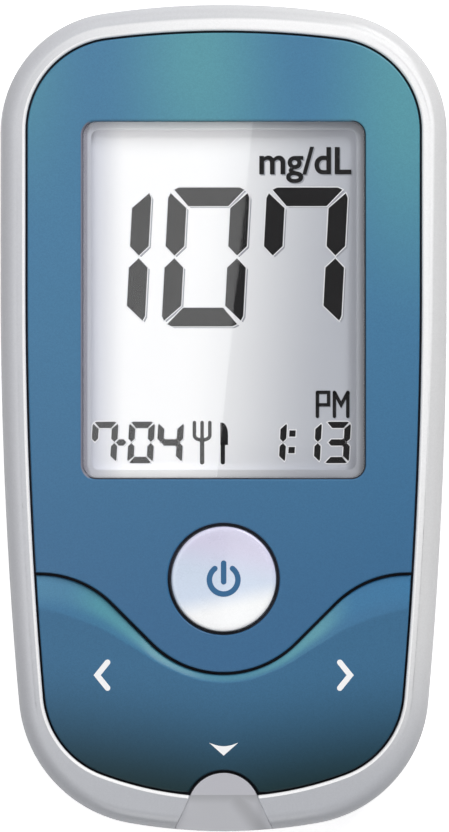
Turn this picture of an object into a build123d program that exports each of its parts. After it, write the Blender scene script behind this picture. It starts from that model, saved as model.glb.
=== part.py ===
from build123d import *
from math import cos, radians, sin, sqrt, tan
import os

os.makedirs("parts", exist_ok=True)

# Blood glucose meter, lying on its back: +Z leaves the screen, +Y is the top end,
# the origin is on the table under the middle of the case. All sizes in mm.

# ---------------------------------------------------------------- overall form
WIDTH = 54.0
LENGTH = 100.0
HEIGHT = 18.0
CROWN_RADIUS = 900.0      # the whole front is one shallow dome
CROWN_Y = 6.0             # where the dome is highest
SPLIT_Z = HEIGHT / 2      # joint between the front and the rear cover
WALL = 1.8
SIDE_DRAFT = 1.5          # degrees, both covers lean in away from the joint
TOP = LENGTH / 2
BOTTOM = -LENGTH / 2
SIDE = WIDTH / 2
WAIST_DROP = 34.0         # from the top end to where the sides start to close in

CASE_FORM = dict(half=SIDE, top=TOP, top_r=98.9, top_corner=14.5,
                 waist=TOP - WAIST_DROP, side_r=570.0, bottom=BOTTOM, bottom_r=66.0, bottom_corner=16.2)

# the recess in the front cover that takes the faceplate and the scroll key
RIM_SIDE = 3.1
RIM_TOP = 3.3
RIM_BOTTOM = 4.3
PLATE_FORM = dict(half=SIDE - RIM_SIDE, top=TOP - RIM_TOP, top_r=112.0, top_corner=11.2,
                  waist=TOP - WAIST_DROP, side_r=590.0,
                  bottom=BOTTOM + RIM_BOTTOM, bottom_r=42.0, bottom_corner=11.0)

# ------------------------------------------------------------------ clearances
SEAT_GAP = 0.05           # fixed pieces that drop into each other
SLIDE_GAP = 0.15          # guided pieces that slide
HINGE_GAP = 0.05          # a pin in its hole, radial
PLATE_GAP = 0.3           # dark line round the faceplate and the scroll key
SEAM_GAP = 0.35           # dark line between the faceplate and the scroll key
FIT_GAP = 0.15            # loose fit of glass, boards and cells in their pockets

# ------------------------------------------------ depths below the domed front
RIM_ROUND = 2.0           # outer edge of the front cover
BACK_ROUND = 4.0          # outer edge of the rear cover
RIM_EDGE = 0.35           # inner edge of the rim
RIM_THICK = 2.0
PLATE_SINK = 0.15         # faceplate surface below the rim
PLATE_THICK = 1.3
PLATE_EDGE = 0.2          # chamfer of the faceplate and of the scroll key
PLATE_SEAT = PLATE_SINK + PLATE_THICK
LENS_SINK = 0.55
DECK_UNDER = 3.4          # underside of the chassis deck
KEY_FLOOR = 2.45          # chassis floor under the scroll key

# ------------------------------------------------------------ S-shaped seam
SEAM_UP = 19.2            # from the bottom end to its lowest point
SEAM_LOW = BOTTOM + SEAM_UP
SEAM_BEND = 12.3          # radius of each of its bends
SEAM_RISE = 12.0          # from the lowest point to the ends at the sides
SEAM_ANGLE = 45.0
BEVEL_DEPTH = 0.75        # the scroll key falls by this much to the seam
BEVEL_MID = 0.95          # width of its sloping band on the centre line
BEVEL_SIDE = 3.9          # and at the sides

# ---------------------------------------------------------------- power button
BUTTON_UP = 11.4          # centre above the seam
BUTTON_Y = SEAM_LOW + BUTTON_UP
BUTTON_R = 6.325
BUTTON_HOLE_GAP = 0.5     # dark ring round it
BUTTON_PROUD = 0.2
BUTTON_EDGE = 0.3
BUTTON_DISH_R = 30.0      # hollow of the finger face
BUTTON_DISH = 0.55
BUTTON_FLANGE = 1.0       # how far the flange stands out under the deck
BUTTON_FLANGE_T = 1.0
BUTTON_SKIN = 1.5
BUTTON_STEM_R = 2.0
BUTTON_SEAT_UP = 0.3      # the flange's seat above the deck's underside
BUTTON_PEG = 1.2          # width of the peg that keeps the button from turning
PEG_REACH = 0.5           # how far it stands into the flange

# ---------------------------------------------------------------------- window
WINDOW_SIDE = 10.0        # from the sides of the case
WINDOW_DROP = 14.25       # from its top end
WINDOW_UP = 12.15         # from the button
WINDOW_W = WIDTH - 2 * WINDOW_SIDE
WINDOW_Y1 = TOP - WINDOW_DROP
WINDOW_Y0 = BUTTON_Y + WINDOW_UP
WINDOW_H = WINDOW_Y1 - WINDOW_Y0
WINDOW_Y = (WINDOW_Y0 + WINDOW_Y1) / 2
WINDOW_CORNER = 1.6
WINDOW_BEVEL = 0.35
WINDOW_LEDGE = 0.9        # what the chassis leaves for the lens to lie on

# ------------------------------------------------------------------ scroll key
KEY_AXLE_DROP = 4.7       # axle below the top of the case
KEY_AXLE_Z = HEIGHT - KEY_AXLE_DROP
KEY_AXLE_R = 0.8
KEY_PIN = 1.3
KEY_RIB_DROP = 2.6        # from the seam to the rib
KEY_RIB_L = 5.8
KEY_RIB_Y1 = SEAM_LOW - KEY_RIB_DROP
KEY_RIB_Y0 = KEY_RIB_Y1 - KEY_RIB_L
KEY_RIB_T = 1.7
KEY_RIB_ROOM = 0.35       # on either side of the rib, for the tilt
KEY_PUSH_SIDE = 12.0      # pushers, from the sides of the case
KEY_PUSH_X = SIDE - KEY_PUSH_SIDE
KEY_PUSH_Y = SEAM_LOW - SEAM_GAP / 2
KEY_PUSH_R = 1.5
KEY_PUSH_ROOM = 0.6
BEARING_WALL = 0.9

# -------------------------------------------------------------- strip port
PORT_NOSE_L = 4.6
PORT_Y = BOTTOM + PORT_NOSE_L   # crease between the nose and the round end
PORT_HALF = 3.97
PORT_HALF_OUT = 6.1
PORT_ROUND_R = 4.33
PORT_PROUD = 0.1
NOSE_FALL = 2.6           # the flat nose slopes down by this much to the end
SLOT_W = 7.0
SLOT_H = 1.0
SLOT_UP = 1.7             # slot above the joint of the case
SLOT_Z = SPLIT_Z + SLOT_UP
SLOT_MOUTH = 1.5          # the slot widens by this much at its mouth
CONN_W = 11.0             # strip connector on the board
CONN_L = 6.0
PAD_W = 0.8               # width of a strip contact
PAD_T = 0.2

# --------------------------------------------------------------------- display
GLASS_SIDE = 2.25         # glass beyond the window at the sides
GLASS_UP = 1.25           # at the top
GLASS_DOWN = 0.75         # and at the bottom
GLASS_W = WINDOW_W + 2 * GLASS_SIDE
GLASS_T = 1.0             # each of its two panes
GLASS_Y0 = WINDOW_Y0 - GLASS_DOWN   # lower edge of the rear pane
GLASS_Y1 = WINDOW_Y1 + GLASS_UP
GLASS_LEDGE = 2.2         # the front pane runs on for the contacts
GLASS_SINK = 3.1
GLASS_TOP = HEIGHT - GLASS_SINK
GASKET_T = 0.3
GASKET_W = 1.2
HOLDER_WALL = 1.0
HOLDER_DROP = 1.3         # its rim below the glass
HOLDER_SHELF = 1.5        # ledge under the lower edge of the glass
HOLDER_TOP = GLASS_TOP - HOLDER_DROP
ZEBRA_W = WINDOW_W
ZEBRA_T = 1.8

# ------------------------------------------------------------------- electronics
BOARD_UP = 0.4            # board's top above the joint of the case
BOARD_TOP = SPLIT_Z + BOARD_UP
BOARD_T = 1.2
BOARD_UNDER = BOARD_TOP - BOARD_T
BOARD_INSET = 2.4
MAT_T = 0.6               # keypad mat
MAT_EDGE = 4.5            # of the mat beyond a dome's centre
DOME_H = 0.7
DOME_R = 3.2
DOME_SLOPE = 1.0
DOME_SKIN = 1.2
PUSH_GAP = 0.1            # between a dome and what presses it
CHIP_SIDE = 12.5          # control chip and buzzer, from the sides of the case
CHIP_X = SIDE - CHIP_SIDE
CHIP_Y = BUTTON_Y
CHIP_SIZE = 8.0
CHIP_T = 1.2
LEG_PITCH = 0.94
LEG_REACH = 0.8
BUZZER_R = 4.6
BUZZER_T = 2.4
CAPACITOR = (0.8, 1.6, 0.8)
CRYSTAL = (4.2, 1.6, 1.3)

# ------------------------------------------------------------------ battery bay
CELL_R = 10.0
CELL_T = 3.2
CELL_STEP = 0.6           # the cap stands out of the can by this much
CELL_RIM = 1.2
CELL_APART = 1.0
CELL_PITCH = 2 * CELL_R + CELL_APART
BAY_Y = 2.0               # between the two cells
BAY_WALL = 1.2
BAY_CEILING_T = 1.0
SKIN = 1.8
DOOR_MARGIN = 2.5         # round the cells
DOOR_W = 2 * CELL_R + 2 * DOOR_MARGIN
DOOR_Y0 = BAY_Y - CELL_PITCH / 2 - CELL_R - DOOR_MARGIN
DOOR_Y1 = BAY_Y + CELL_PITCH / 2 + CELL_R + DOOR_MARGIN   # hinge line
DOOR_T = 1.5
DOOR_SINK = 0.15
DOOR_BARREL_R = 1.2
DOOR_PIN_R = 0.6
DOOR_PIN = 1.0
DOOR_OPEN = 70.0          # degrees
DOOR_GAP = 0.2
SEAT_DECK_Z = 2.1
CELL_Z = 2.2
CONTACT_T = 0.3
CONTACT_RISE = 0.3
CONTACT_W = 3.0
NEG_LEG_X = 8.2
LATCH_W = 8.0
LATCH_T = 0.75
LATCH_HOOK = 1.0          # reach under the skin
LATCH_H = 2.0
NOTCH_DEPTH = 0.9         # scoop for a fingernail beside the door
NOTCH_R = 4.0
NOTCH_W = 9.0
SOUND_L = 5.0             # slots under the buzzer
SOUND_W = 1.0
SOUND_PITCH = 2.2
GRIP_DEPTH = 0.3          # grooves on the door
GRIP_PITCH = 1.4

# ---------------------------------------------------------------------- screws
SCREW_SIDES = (10.0, 12.0)   # top pair and bottom pair, from the sides
SCREW_ENDS = (9.0, 11.2)     # and from the ends
SCREW_TOP = (SIDE - SCREW_SIDES[0], TOP - SCREW_ENDS[0])
SCREW_BOTTOM = (SIDE - SCREW_SIDES[1], BOTTOM + SCREW_ENDS[1])
SCREW_R = 1.0
SCREW_HEAD_R = 1.9
SCREW_HEAD_T = 1.3
SCREW_SEAT_Z = 3.0
SCREW_BITE = 2.9          # length held in the chassis
SCREW_CROSS = (2.2, 0.5, 1.4)
BOSS_WALL = 1.3

# ------------------------------------------------------------------- data jack
JACK_DROP = 2.9           # bore below the board
JACK_Z = BOARD_UNDER - JACK_DROP
JACK_BORE_R = 1.8
JACK_W = 6.4
JACK_L = 13.0
JACK_NOSE_R = 2.5
JACK_HOLE_R = 2.6
JACK_NOSE_L = 2.5


# ------------------------------------------------------------------- helpers
def circles_meet(ax, ay, ar, bx, by, br):
    """The lower crossing of two circles that stand side by side."""
    gap = sqrt((bx - ax) ** 2 + (by - ay) ** 2)
    along = (ar * ar - br * br + gap * gap) / (2 * gap)
    off = sqrt(ar * ar - along * along)
    ux, uy = (bx - ax) / gap, (by - ay) / gap
    mx, my = ax + along * ux, ay + along * uy
    pair = [(mx - off * uy, my + off * ux), (mx + off * uy, my - off * ux)]
    return min(pair, key=lambda p: p[1])


def outline(form, inset=0.0):
    """Plan of the case or of the plate recess, moved inwards by inset."""
    half = form["half"] - inset
    waist = form["waist"]
    top_r = form["top_r"] - inset
    top_c = form["top"] - form["top_r"]
    side_r = form["side_r"] - inset
    side_c = form["half"] - form["side_r"]
    low_r = form["bottom_r"] - inset
    low_c = form["bottom"] + form["bottom_r"]
    tx, ty = half, top_c + sqrt(top_r ** 2 - half ** 2)
    bx, by = circles_meet(side_c, waist, side_r, 0, low_c, low_r)
    mid_y = (waist + by) / 2
    mid_x = side_c + sqrt(side_r ** 2 - (mid_y - waist) ** 2)
    edges = [ThreePointArc((-bx, by), (0, low_c - low_r), (bx, by)),
             ThreePointArc((bx, by), (mid_x, mid_y), (half, waist)),
             Line((half, waist), (tx, ty)),
             ThreePointArc((tx, ty), (0, top_c + top_r), (-tx, ty)),
             Line((-tx, ty), (-half, waist)),
             ThreePointArc((-half, waist), (-mid_x, mid_y), (-bx, by))]
    face = make_face(edges)
    corners = face.vertices().sort_by(Axis.Y)
    face = fillet(corners[-2:], form["top_corner"] - inset)
    corners = face.vertices().filter_by(lambda v: abs(v.Y - by) < 0.01)
    return fillet(corners, form["bottom_corner"] - inset)


def crown(drop):
    """Everything below the domed front, sunk by drop."""
    pose = Plane(origin=(0, CROWN_Y, HEIGHT - CROWN_RADIUS), x_dir=(0, 0, -1), z_dir=(0, 1, 0))
    return pose * Sphere(CROWN_RADIUS - drop)


def crown_z(x, y, drop=0.0):
    """Height of the domed front over a point."""
    return HEIGHT - CROWN_RADIUS + sqrt((CROWN_RADIUS - drop) ** 2 - x * x - (y - CROWN_Y) ** 2)


def column(face, z0, z1):
    """A plan face raised from z0 to z1."""
    return extrude(Pos(0, 0, z0) * face, amount=z1 - z0, dir=(0, 0, 1))


def drafted_case(z_end):
    """The case from the joint up or down to z_end, leaning in all round."""
    lean = abs(z_end - SPLIT_Z) * tan(radians(SIDE_DRAFT))
    return loft([Pos(0, 0, SPLIT_Z) * case_plan, Pos(0, 0, z_end) * outline(CASE_FORM, lean)],
                ruled=True)


def block(x0, x1, y0, y1, z0, z1):
    return Pos((x0 + x1) / 2, (y0 + y1) / 2, (z0 + z1) / 2) * Box(x1 - x0, y1 - y0, z1 - z0)


def post(x, y, radius, z0, z1):
    return Pos(x, y, (z0 + z1) / 2) * Cylinder(radius, z1 - z0)


def rod_y(x, z, radius, y0, y1):
    """A round rod along Y."""
    return Pos(x, (y0 + y1) / 2, z) * Rot(X=90) * Cylinder(radius, y1 - y0)


def rod_x(y, z, radius, x0, x1):
    """A round rod along X."""
    return Pos((x0 + x1) / 2, y, z) * Rot(Y=90) * Cylinder(radius, x1 - x0)


def both_sides(shape):
    return [shape, mirror(shape, about=Plane.YZ)]


def one_solid(shape):
    """The shape as a single solid, without crumbs."""
    return max(shape.solids(), key=lambda s: s.volume)


def opening_edges(shape):
    """The edges round the largest opening in the highest face that has one."""
    face = max((f for f in shape.faces() if f.inner_wires()), key=lambda f: f.bounding_box().max.Z)
    return max(face.inner_wires(), key=lambda w: w.length).edges()


FAR = 2 * WIDTH           # well past the case on every side
SEAM_TURN = radians(SEAM_ANGLE)
SEAM_END = SEAM_LOW + SEAM_RISE
SEAM_RUN = (SEAM_RISE - 2 * SEAM_BEND * (1 - cos(SEAM_TURN))) / sin(SEAM_TURN)
SEAM_OUT = 2 * SEAM_BEND * sin(SEAM_TURN) + SEAM_RUN * cos(SEAM_TURN)


def below_seam(shift=0.0, end_drop=None):
    """Plan region below the S-shaped seam, its edge moved down by shift.
    end_drop moves the outer ends down by another amount than the middle."""
    ends = shift if end_drop is None else end_drop
    low_r = SEAM_BEND + shift
    top_r = SEAM_BEND - ends
    low_c = SEAM_LOW + SEAM_BEND
    top_c = SEAM_END - SEAM_BEND
    s, c = sin(SEAM_TURN), cos(SEAM_TURN)
    half_s, half_c = sin(SEAM_TURN / 2), cos(SEAM_TURN / 2)

    def right(x, y):
        return x, y

    def left(x, y):
        return -x, y

    def half_edges(side):
        return [ThreePointArc(side(low_r * s, low_c - low_r * c),
                              side(low_r * half_s, low_c - low_r * half_c),
                              side(0, low_c - low_r)),
                Line(side(SEAM_OUT - top_r * s, top_c + top_r * c),
                     side(low_r * s, low_c - low_r * c)),
                ThreePointArc(side(SEAM_OUT, top_c + top_r),
                              side(SEAM_OUT - top_r * half_s, top_c + top_r * half_c),
                              side(SEAM_OUT - top_r * s, top_c + top_r * c)),
                Line(side(FAR, top_c + top_r), side(SEAM_OUT, top_c + top_r))]

    edges = half_edges(right) + half_edges(left)
    edges += [Line((FAR, top_c + top_r), (FAR, -FAR)), Line((FAR, -FAR), (-FAR, -FAR)),
              Line((-FAR, -FAR), (-FAR, top_c + top_r))]
    return make_face(edges)


def port_plan(grow=0.0):
    """Plan of the strip port: a flared nose and a round inner end."""
    out_y = BOTTOM - 1.0
    flare = (PORT_HALF_OUT - PORT_HALF) / (PORT_Y - BOTTOM)
    half_out = PORT_HALF_OUT + flare + grow
    nose = make_face(Polyline((-half_out, out_y), (half_out, out_y), (PORT_HALF + grow, PORT_Y),
                              (-PORT_HALF - grow, PORT_Y), close=True))
    fall = sqrt(PORT_ROUND_R ** 2 - PORT_HALF ** 2)
    centre = PORT_Y - fall
    disc = Pos(0, centre) * Circle(PORT_ROUND_R + grow)
    disc -= Pos(0, PORT_Y - FAR / 2 - 0.5) * Rectangle(FAR, FAR)
    return nose + disc


case_plan = outline(CASE_FORM)
opening_plan = outline(PLATE_FORM)
insert_plan = outline(PLATE_FORM, SEAT_GAP)
plate_plan = outline(PLATE_FORM, PLATE_GAP)
inner_plan = outline(CASE_FORM, WALL)
deck_plan = outline(CASE_FORM, WALL + FIT_GAP)
LIP_T = WALL / 2 - SEAT_GAP / 2
lip_plan = outline(CASE_FORM, WALL - LIP_T)
rebate_plan = outline(CASE_FORM, WALL - LIP_T - SEAT_GAP)
LIP_H = 1.2

# ---------------------------------------------------------------- front cover
body = drafted_case(HEIGHT + 1) & crown(0)
body = fillet(body.faces().sort_by(Axis.Z)[-1].edges(), RIM_ROUND)
body -= column(inner_plan, SPLIT_Z - 1, HEIGHT + 1) & crown(RIM_THICK)
body -= column(rebate_plan, SPLIT_Z - 1, SPLIT_Z + LIP_H + SEAT_GAP)
body -= column(opening_plan, SPLIT_Z, HEIGHT + 1)
body = chamfer(opening_edges(body), RIM_EDGE)
body -= column(port_plan(SEAT_GAP), SPLIT_Z - 1, HEIGHT + 1)
SNAP_H = 0.6
snap_ring = column(outline(CASE_FORM, WALL - 0.01), SPLIT_Z + 2, HEIGHT) - column(
    outline(CASE_FORM, WALL + 0.5), SPLIT_Z, HEIGHT + 1)
snap_ring = (snap_ring & crown(DECK_UNDER + SEAT_GAP)) - crown(DECK_UNDER + SEAT_GAP + SNAP_H)
for snap_y in (0.6 * TOP, 0.04 * TOP, 0.48 * BOTTOM):
    for snap in both_sides(block(SIDE / 2, WIDTH, snap_y - 3, snap_y + 3, SPLIT_Z, HEIGHT)):
        body += snap_ring & snap
front_cover = one_solid(body)

# -------------------------------------------------------------------- chassis
slab = (column(deck_plan, SPLIT_Z, HEIGHT) & crown(RIM_THICK)) - crown(DECK_UNDER)
platform = (column(insert_plan, SPLIT_Z, HEIGHT) & crown(PLATE_SEAT)) - crown(DECK_UNDER)
deck = slab + platform
key_pocket = column(below_seam(-SEAM_GAP / 2) & insert_plan, SPLIT_Z, HEIGHT) - crown(KEY_FLOOR)
deck -= key_pocket
deck -= block(-WINDOW_W / 2 + WINDOW_LEDGE, WINDOW_W / 2 - WINDOW_LEDGE,
              WINDOW_Y - WINDOW_H / 2 + WINDOW_LEDGE, WINDOW_Y + WINDOW_H / 2 - WINDOW_LEDGE,
              SPLIT_Z, HEIGHT + 1)
GLASS_LOW = GLASS_Y0 - GLASS_LEDGE
GLASS_CEILING = GLASS_TOP + GASKET_T
deck -= block(-GLASS_W / 2 - FIT_GAP, GLASS_W / 2 + FIT_GAP, GLASS_LOW - FIT_GAP,
              GLASS_Y1 + FIT_GAP, SPLIT_Z, GLASS_CEILING)
deck -= column(port_plan(SEAT_GAP), SPLIT_Z, HEIGHT)

# guide hole for the power button, with a flat seat under the deck for its flange
FLANGE_R = BUTTON_R + BUTTON_FLANGE
BUTTON_SEAT_Z = crown_z(0, BUTTON_Y, DECK_UNDER) + BUTTON_SEAT_UP
deck -= post(0, BUTTON_Y, BUTTON_R + SLIDE_GAP, SPLIT_Z, HEIGHT)
deck -= post(0, BUTTON_Y, FLANGE_R + FIT_GAP, SPLIT_Z, BUTTON_SEAT_Z)
PEG_Y = BUTTON_Y + FLANGE_R - PEG_REACH
deck += block(-BUTTON_PEG / 2, BUTTON_PEG / 2, PEG_Y, PEG_Y + 2 * PEG_REACH,
              BUTTON_SEAT_Z - 2 * BUTTON_FLANGE_T, BUTTON_SEAT_Z + 0.5)

# bearings of the scroll key: two blocks under the floor, each with a snap mouth
AXLE_HOLE_R = KEY_AXLE_R + HINGE_GAP
BEARING_L = KEY_PIN + 0.1
BEARING_HALF = AXLE_HOLE_R + BEARING_WALL
bearing_low = KEY_AXLE_Z - AXLE_HOLE_R - 0.6
RIB_END_GAP = 0.1
rib_slot = block(-KEY_RIB_T / 2 - KEY_RIB_ROOM, KEY_RIB_T / 2 + KEY_RIB_ROOM, KEY_RIB_Y0 - RIB_END_GAP,
                 KEY_RIB_Y1 + RIB_END_GAP, SPLIT_Z, HEIGHT)
for y0, y1 in ((KEY_RIB_Y0 - RIB_END_GAP - BEARING_L, KEY_RIB_Y0 - RIB_END_GAP),
               (KEY_RIB_Y1 + RIB_END_GAP, KEY_RIB_Y1 + RIB_END_GAP + BEARING_L)):
    bearing = block(-BEARING_HALF, BEARING_HALF, y0, y1, bearing_low, HEIGHT) & crown(KEY_FLOOR)
    deck += bearing
    deck -= rod_y(0, KEY_AXLE_Z, AXLE_HOLE_R, y0 - 0.05, y1 + 0.05)
    mouth = KEY_AXLE_R * 0.8
    deck -= block(-mouth, mouth, y0, y1, KEY_AXLE_Z, HEIGHT)
deck -= rib_slot
for side in (-1, 1):
    deck -= post(side * KEY_PUSH_X, KEY_PUSH_Y, KEY_PUSH_R + KEY_PUSH_ROOM, SPLIT_Z, HEIGHT)

# screw bosses that stand on the board
BOSS_R = SCREW_R + BOSS_WALL
PILOT_R = SCREW_R + 0.02
for x, y in (SCREW_TOP, SCREW_BOTTOM):
    for side in (-1, 1):
        boss = post(side * x, y, BOSS_R, BOARD_TOP, HEIGHT) & crown(DECK_UNDER - 0.3)
        deck += boss
        deck -= post(side * x, y, PILOT_R, BOARD_TOP - 1, BOARD_TOP + SCREW_BITE + 0.3)
chassis = one_solid(deck)

# ------------------------------------------------------------------ faceplate
window_plan = Pos(0, WINDOW_Y) * RectangleRounded(WINDOW_W, WINDOW_H, WINDOW_CORNER)
plate = (column(plate_plan, SPLIT_Z, HEIGHT + 1) & crown(PLATE_SINK)) - crown(PLATE_SEAT)
plate -= column(below_seam(-SEAM_GAP / 2), SPLIT_Z, HEIGHT + 1)
plate -= column(window_plan, SPLIT_Z, HEIGHT + 1)
plate -= post(0, BUTTON_Y, BUTTON_R + BUTTON_HOLE_GAP, SPLIT_Z, HEIGHT + 1)
plate = chamfer(opening_edges(plate), WINDOW_BEVEL)
plate_top = plate.faces().sort_by(Axis.Z)[-1]
plate = chamfer(plate_top.outer_wire().edges(), PLATE_EDGE)
faceplate = one_solid(plate)

# ---------------------------------------------------------------- window lens
lens_plan = Pos(0, WINDOW_Y) * RectangleRounded(
    WINDOW_W - 2 * SEAT_GAP, WINDOW_H - 2 * SEAT_GAP, WINDOW_CORNER - SEAT_GAP)
window_lens = (column(lens_plan, SPLIT_Z, HEIGHT) & crown(LENS_SINK)) - crown(PLATE_SEAT)
window_lens = one_solid(window_lens)

# ----------------------------------------------------------------- scroll key
# Its top falls away to the seam in a band that is narrow in the middle and wide at
# the sides: a ruled body between the seam and the band's other edge makes the slope.
bevel_top = crown_z(0, SEAM_LOW, PLATE_SINK)
half_gap = SEAM_GAP / 2
slope = loft([Pos(0, 0, bevel_top - BEVEL_DEPTH) * below_seam(half_gap),
              Pos(0, 0, bevel_top) * below_seam(half_gap + BEVEL_MID, half_gap + BEVEL_SIDE)],
             ruled=True)
above = column(below_seam(half_gap + BEVEL_MID, half_gap + BEVEL_SIDE), bevel_top, HEIGHT + 1)
below = column(below_seam(half_gap), SPLIT_Z, bevel_top - BEVEL_DEPTH)
key_body = column(plate_plan, SPLIT_Z, HEIGHT + 1) & crown(PLATE_SINK)
key_body = chamfer(key_body.faces().sort_by(Axis.Z)[-1].edges(), PLATE_EDGE)
key = (key_body & (below + slope + above)) - crown(PLATE_SEAT)
key -= column(port_plan(SEAM_GAP), SPLIT_Z, HEIGHT + 1)
rib = block(-KEY_RIB_T / 2, KEY_RIB_T / 2, KEY_RIB_Y0, KEY_RIB_Y1,
            KEY_AXLE_Z - KEY_AXLE_R, HEIGHT) & crown(PLATE_SEAT - 0.4)
key += rib
key += rod_y(0, KEY_AXLE_Z, KEY_AXLE_R, KEY_RIB_Y0 - KEY_PIN, KEY_RIB_Y1 + KEY_PIN)
PUSH_Z = BOARD_TOP + MAT_T + DOME_H + PUSH_GAP
for side in (-1, 1):
    key += post(side * KEY_PUSH_X, KEY_PUSH_Y, KEY_PUSH_R, PUSH_Z, HEIGHT) & crown(PLATE_SEAT - 0.4)
scroll_key = one_solid(key)

# --------------------------------------------------------------- power button
button_top = crown_z(0, BUTTON_Y, PLATE_SINK) + BUTTON_PROUD
flange_top = BUTTON_SEAT_Z - HINGE_GAP
flange_low = flange_top - BUTTON_FLANGE_T
cap = post(0, BUTTON_Y, BUTTON_R, flange_low, button_top)
cap = chamfer(cap.edges().sort_by(Axis.Z)[-1], BUTTON_EDGE)
cap -= Pos(0, BUTTON_Y, button_top + BUTTON_DISH_R - BUTTON_DISH) * Sphere(BUTTON_DISH_R)
cap += post(0, BUTTON_Y, FLANGE_R, flange_low, flange_top)
cap -= block(-BUTTON_PEG / 2 - SLIDE_GAP, BUTTON_PEG / 2 + SLIDE_GAP, PEG_Y - SLIDE_GAP,
             BUTTON_Y + FLANGE_R + 1, flange_low - 1, flange_top + 0.1)
cap -= post(0, BUTTON_Y, BUTTON_R - BUTTON_SKIN, flange_low - 1,
            button_top - BUTTON_DISH - BUTTON_SKIN)
cap += post(0, BUTTON_Y, BUTTON_STEM_R, PUSH_Z, button_top - BUTTON_DISH - BUTTON_SKIN + 0.5)
power_button = one_solid(cap)

# --------------------------------------------------------------------- display
rear_pane = block(-GLASS_W / 2, GLASS_W / 2, GLASS_Y0, GLASS_Y1,
                  GLASS_TOP - 2 * GLASS_T, GLASS_TOP - GLASS_T)
front_pane = block(-GLASS_W / 2, GLASS_W / 2, GLASS_LOW, GLASS_Y1,
                   GLASS_TOP - GLASS_T, GLASS_TOP)
lcd_glass = rear_pane + front_pane

lcd_gasket = block(-GLASS_W / 2, GLASS_W / 2, GLASS_Y0, GLASS_Y1,
                   GLASS_TOP, GLASS_CEILING) - block(
    -GLASS_W / 2 + GASKET_W, GLASS_W / 2 - GASKET_W, GLASS_Y0 + GASKET_W / 2,
    GLASS_Y1 - GASKET_W / 2, GLASS_TOP - 1, GLASS_CEILING + 1)

seat_z = GLASS_TOP - 2 * GLASS_T
out = FIT_GAP + HOLDER_WALL
tray = block(-GLASS_W / 2 - out, GLASS_W / 2 + out, GLASS_LOW - out, GLASS_Y1 + out,
             BOARD_TOP, HOLDER_TOP)
tray = fillet(tray.edges().filter_by(Axis.Z), HOLDER_WALL)
tray -= block(-GLASS_W / 2 - FIT_GAP, GLASS_W / 2 + FIT_GAP, GLASS_LOW - FIT_GAP,
              GLASS_Y1 + FIT_GAP, seat_z, HEIGHT)
tray -= block(-GLASS_W / 2, GLASS_W / 2, GLASS_Y0 + HOLDER_SHELF, GLASS_Y1, BOARD_TOP - 1,
              seat_z - HOLDER_WALL)
zebra_y = GLASS_Y0 - GLASS_LEDGE / 2
tray -= block(-ZEBRA_W / 2 - SEAT_GAP, ZEBRA_W / 2 + SEAT_GAP, zebra_y - ZEBRA_T / 2 - SEAT_GAP,
              zebra_y + ZEBRA_T / 2 + SEAT_GAP, BOARD_TOP - 1, HEIGHT)
lcd_holder = one_solid(tray)

zebra_strip = block(-ZEBRA_W / 2, ZEBRA_W / 2, zebra_y - ZEBRA_T / 2, zebra_y + ZEBRA_T / 2,
                    BOARD_TOP, GLASS_TOP - GLASS_T)

# ------------------------------------------------------------------ main board
board = column(outline(CASE_FORM, BOARD_INSET), BOARD_UNDER, BOARD_TOP)
for x, y in (SCREW_TOP, SCREW_BOTTOM):
    for side in (-1, 1):
        board -= post(side * x, y, SCREW_R + 0.2, BOARD_UNDER - 1, BOARD_TOP + 1)
board -= column(port_plan(0.4), BOARD_UNDER - 1, BOARD_TOP + 1)
main_board = one_solid(board)

# ---------------------------------------------------------------------- keypad
mat = block(-MAT_EDGE, MAT_EDGE, KEY_PUSH_Y, BUTTON_Y + MAT_EDGE, BOARD_TOP, BOARD_TOP + MAT_T)
mat += block(-KEY_PUSH_X - MAT_EDGE, KEY_PUSH_X + MAT_EDGE, KEY_PUSH_Y - MAT_EDGE,
             KEY_PUSH_Y + MAT_EDGE, BOARD_TOP, BOARD_TOP + MAT_T)
mat = fillet(mat.edges().filter_by(Axis.Z), 0.8)
domes = [(0, BUTTON_Y), (-KEY_PUSH_X, KEY_PUSH_Y), (KEY_PUSH_X, KEY_PUSH_Y)]
for x, y in domes:
    mat += Pos(x, y, BOARD_TOP + MAT_T + DOME_H / 2) * Cone(DOME_R, DOME_R - DOME_SLOPE, DOME_H)
for x, y in domes:
    mat -= post(x, y, DOME_R - DOME_SKIN, BOARD_TOP - 1, BOARD_TOP + MAT_T + 0.1)
keypad = one_solid(mat)

# ----------------------------------------------------- pieces on the main board
half = CHIP_SIZE / 2
control_chip = block(-CHIP_X - half, -CHIP_X + half, CHIP_Y - half, CHIP_Y + half,
                     BOARD_TOP, BOARD_TOP + CHIP_T)
for i in range(8):
    leg_y = CHIP_Y + (i - 3.5) * LEG_PITCH
    control_chip += block(-CHIP_X - half - LEG_REACH, -CHIP_X + half + LEG_REACH,
                          leg_y - LEG_PITCH / 4, leg_y + LEG_PITCH / 4,
                          BOARD_TOP, BOARD_TOP + CHIP_T / 4)
control_chip = one_solid(control_chip)
buzzer = post(CHIP_X, CHIP_Y, BUZZER_R, BOARD_TOP, BOARD_TOP + BUZZER_T)
buzzer = chamfer(buzzer.edges().sort_by(Axis.Z)[-1], BUZZER_T / 6)
buzzer = one_solid(buzzer - post(CHIP_X, CHIP_Y, BUZZER_R / 5, BOARD_TOP + BUZZER_T / 2, HEIGHT))
capacitors = [Pos(side * CHIP_X / 2, y, BOARD_TOP + CAPACITOR[2] / 2) * Box(*CAPACITOR)
              for side in (-1, 1) for y in (CHIP_Y - half, CHIP_Y)]
crystal = Pos(SIDE / 3, KEY_RIB_Y0 + CRYSTAL[1], BOARD_TOP + CRYSTAL[2] / 2) * Box(*CRYSTAL)
crystal = one_solid(chamfer(crystal.edges().filter_by(Axis.Z), CRYSTAL[1] / 4))

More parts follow.
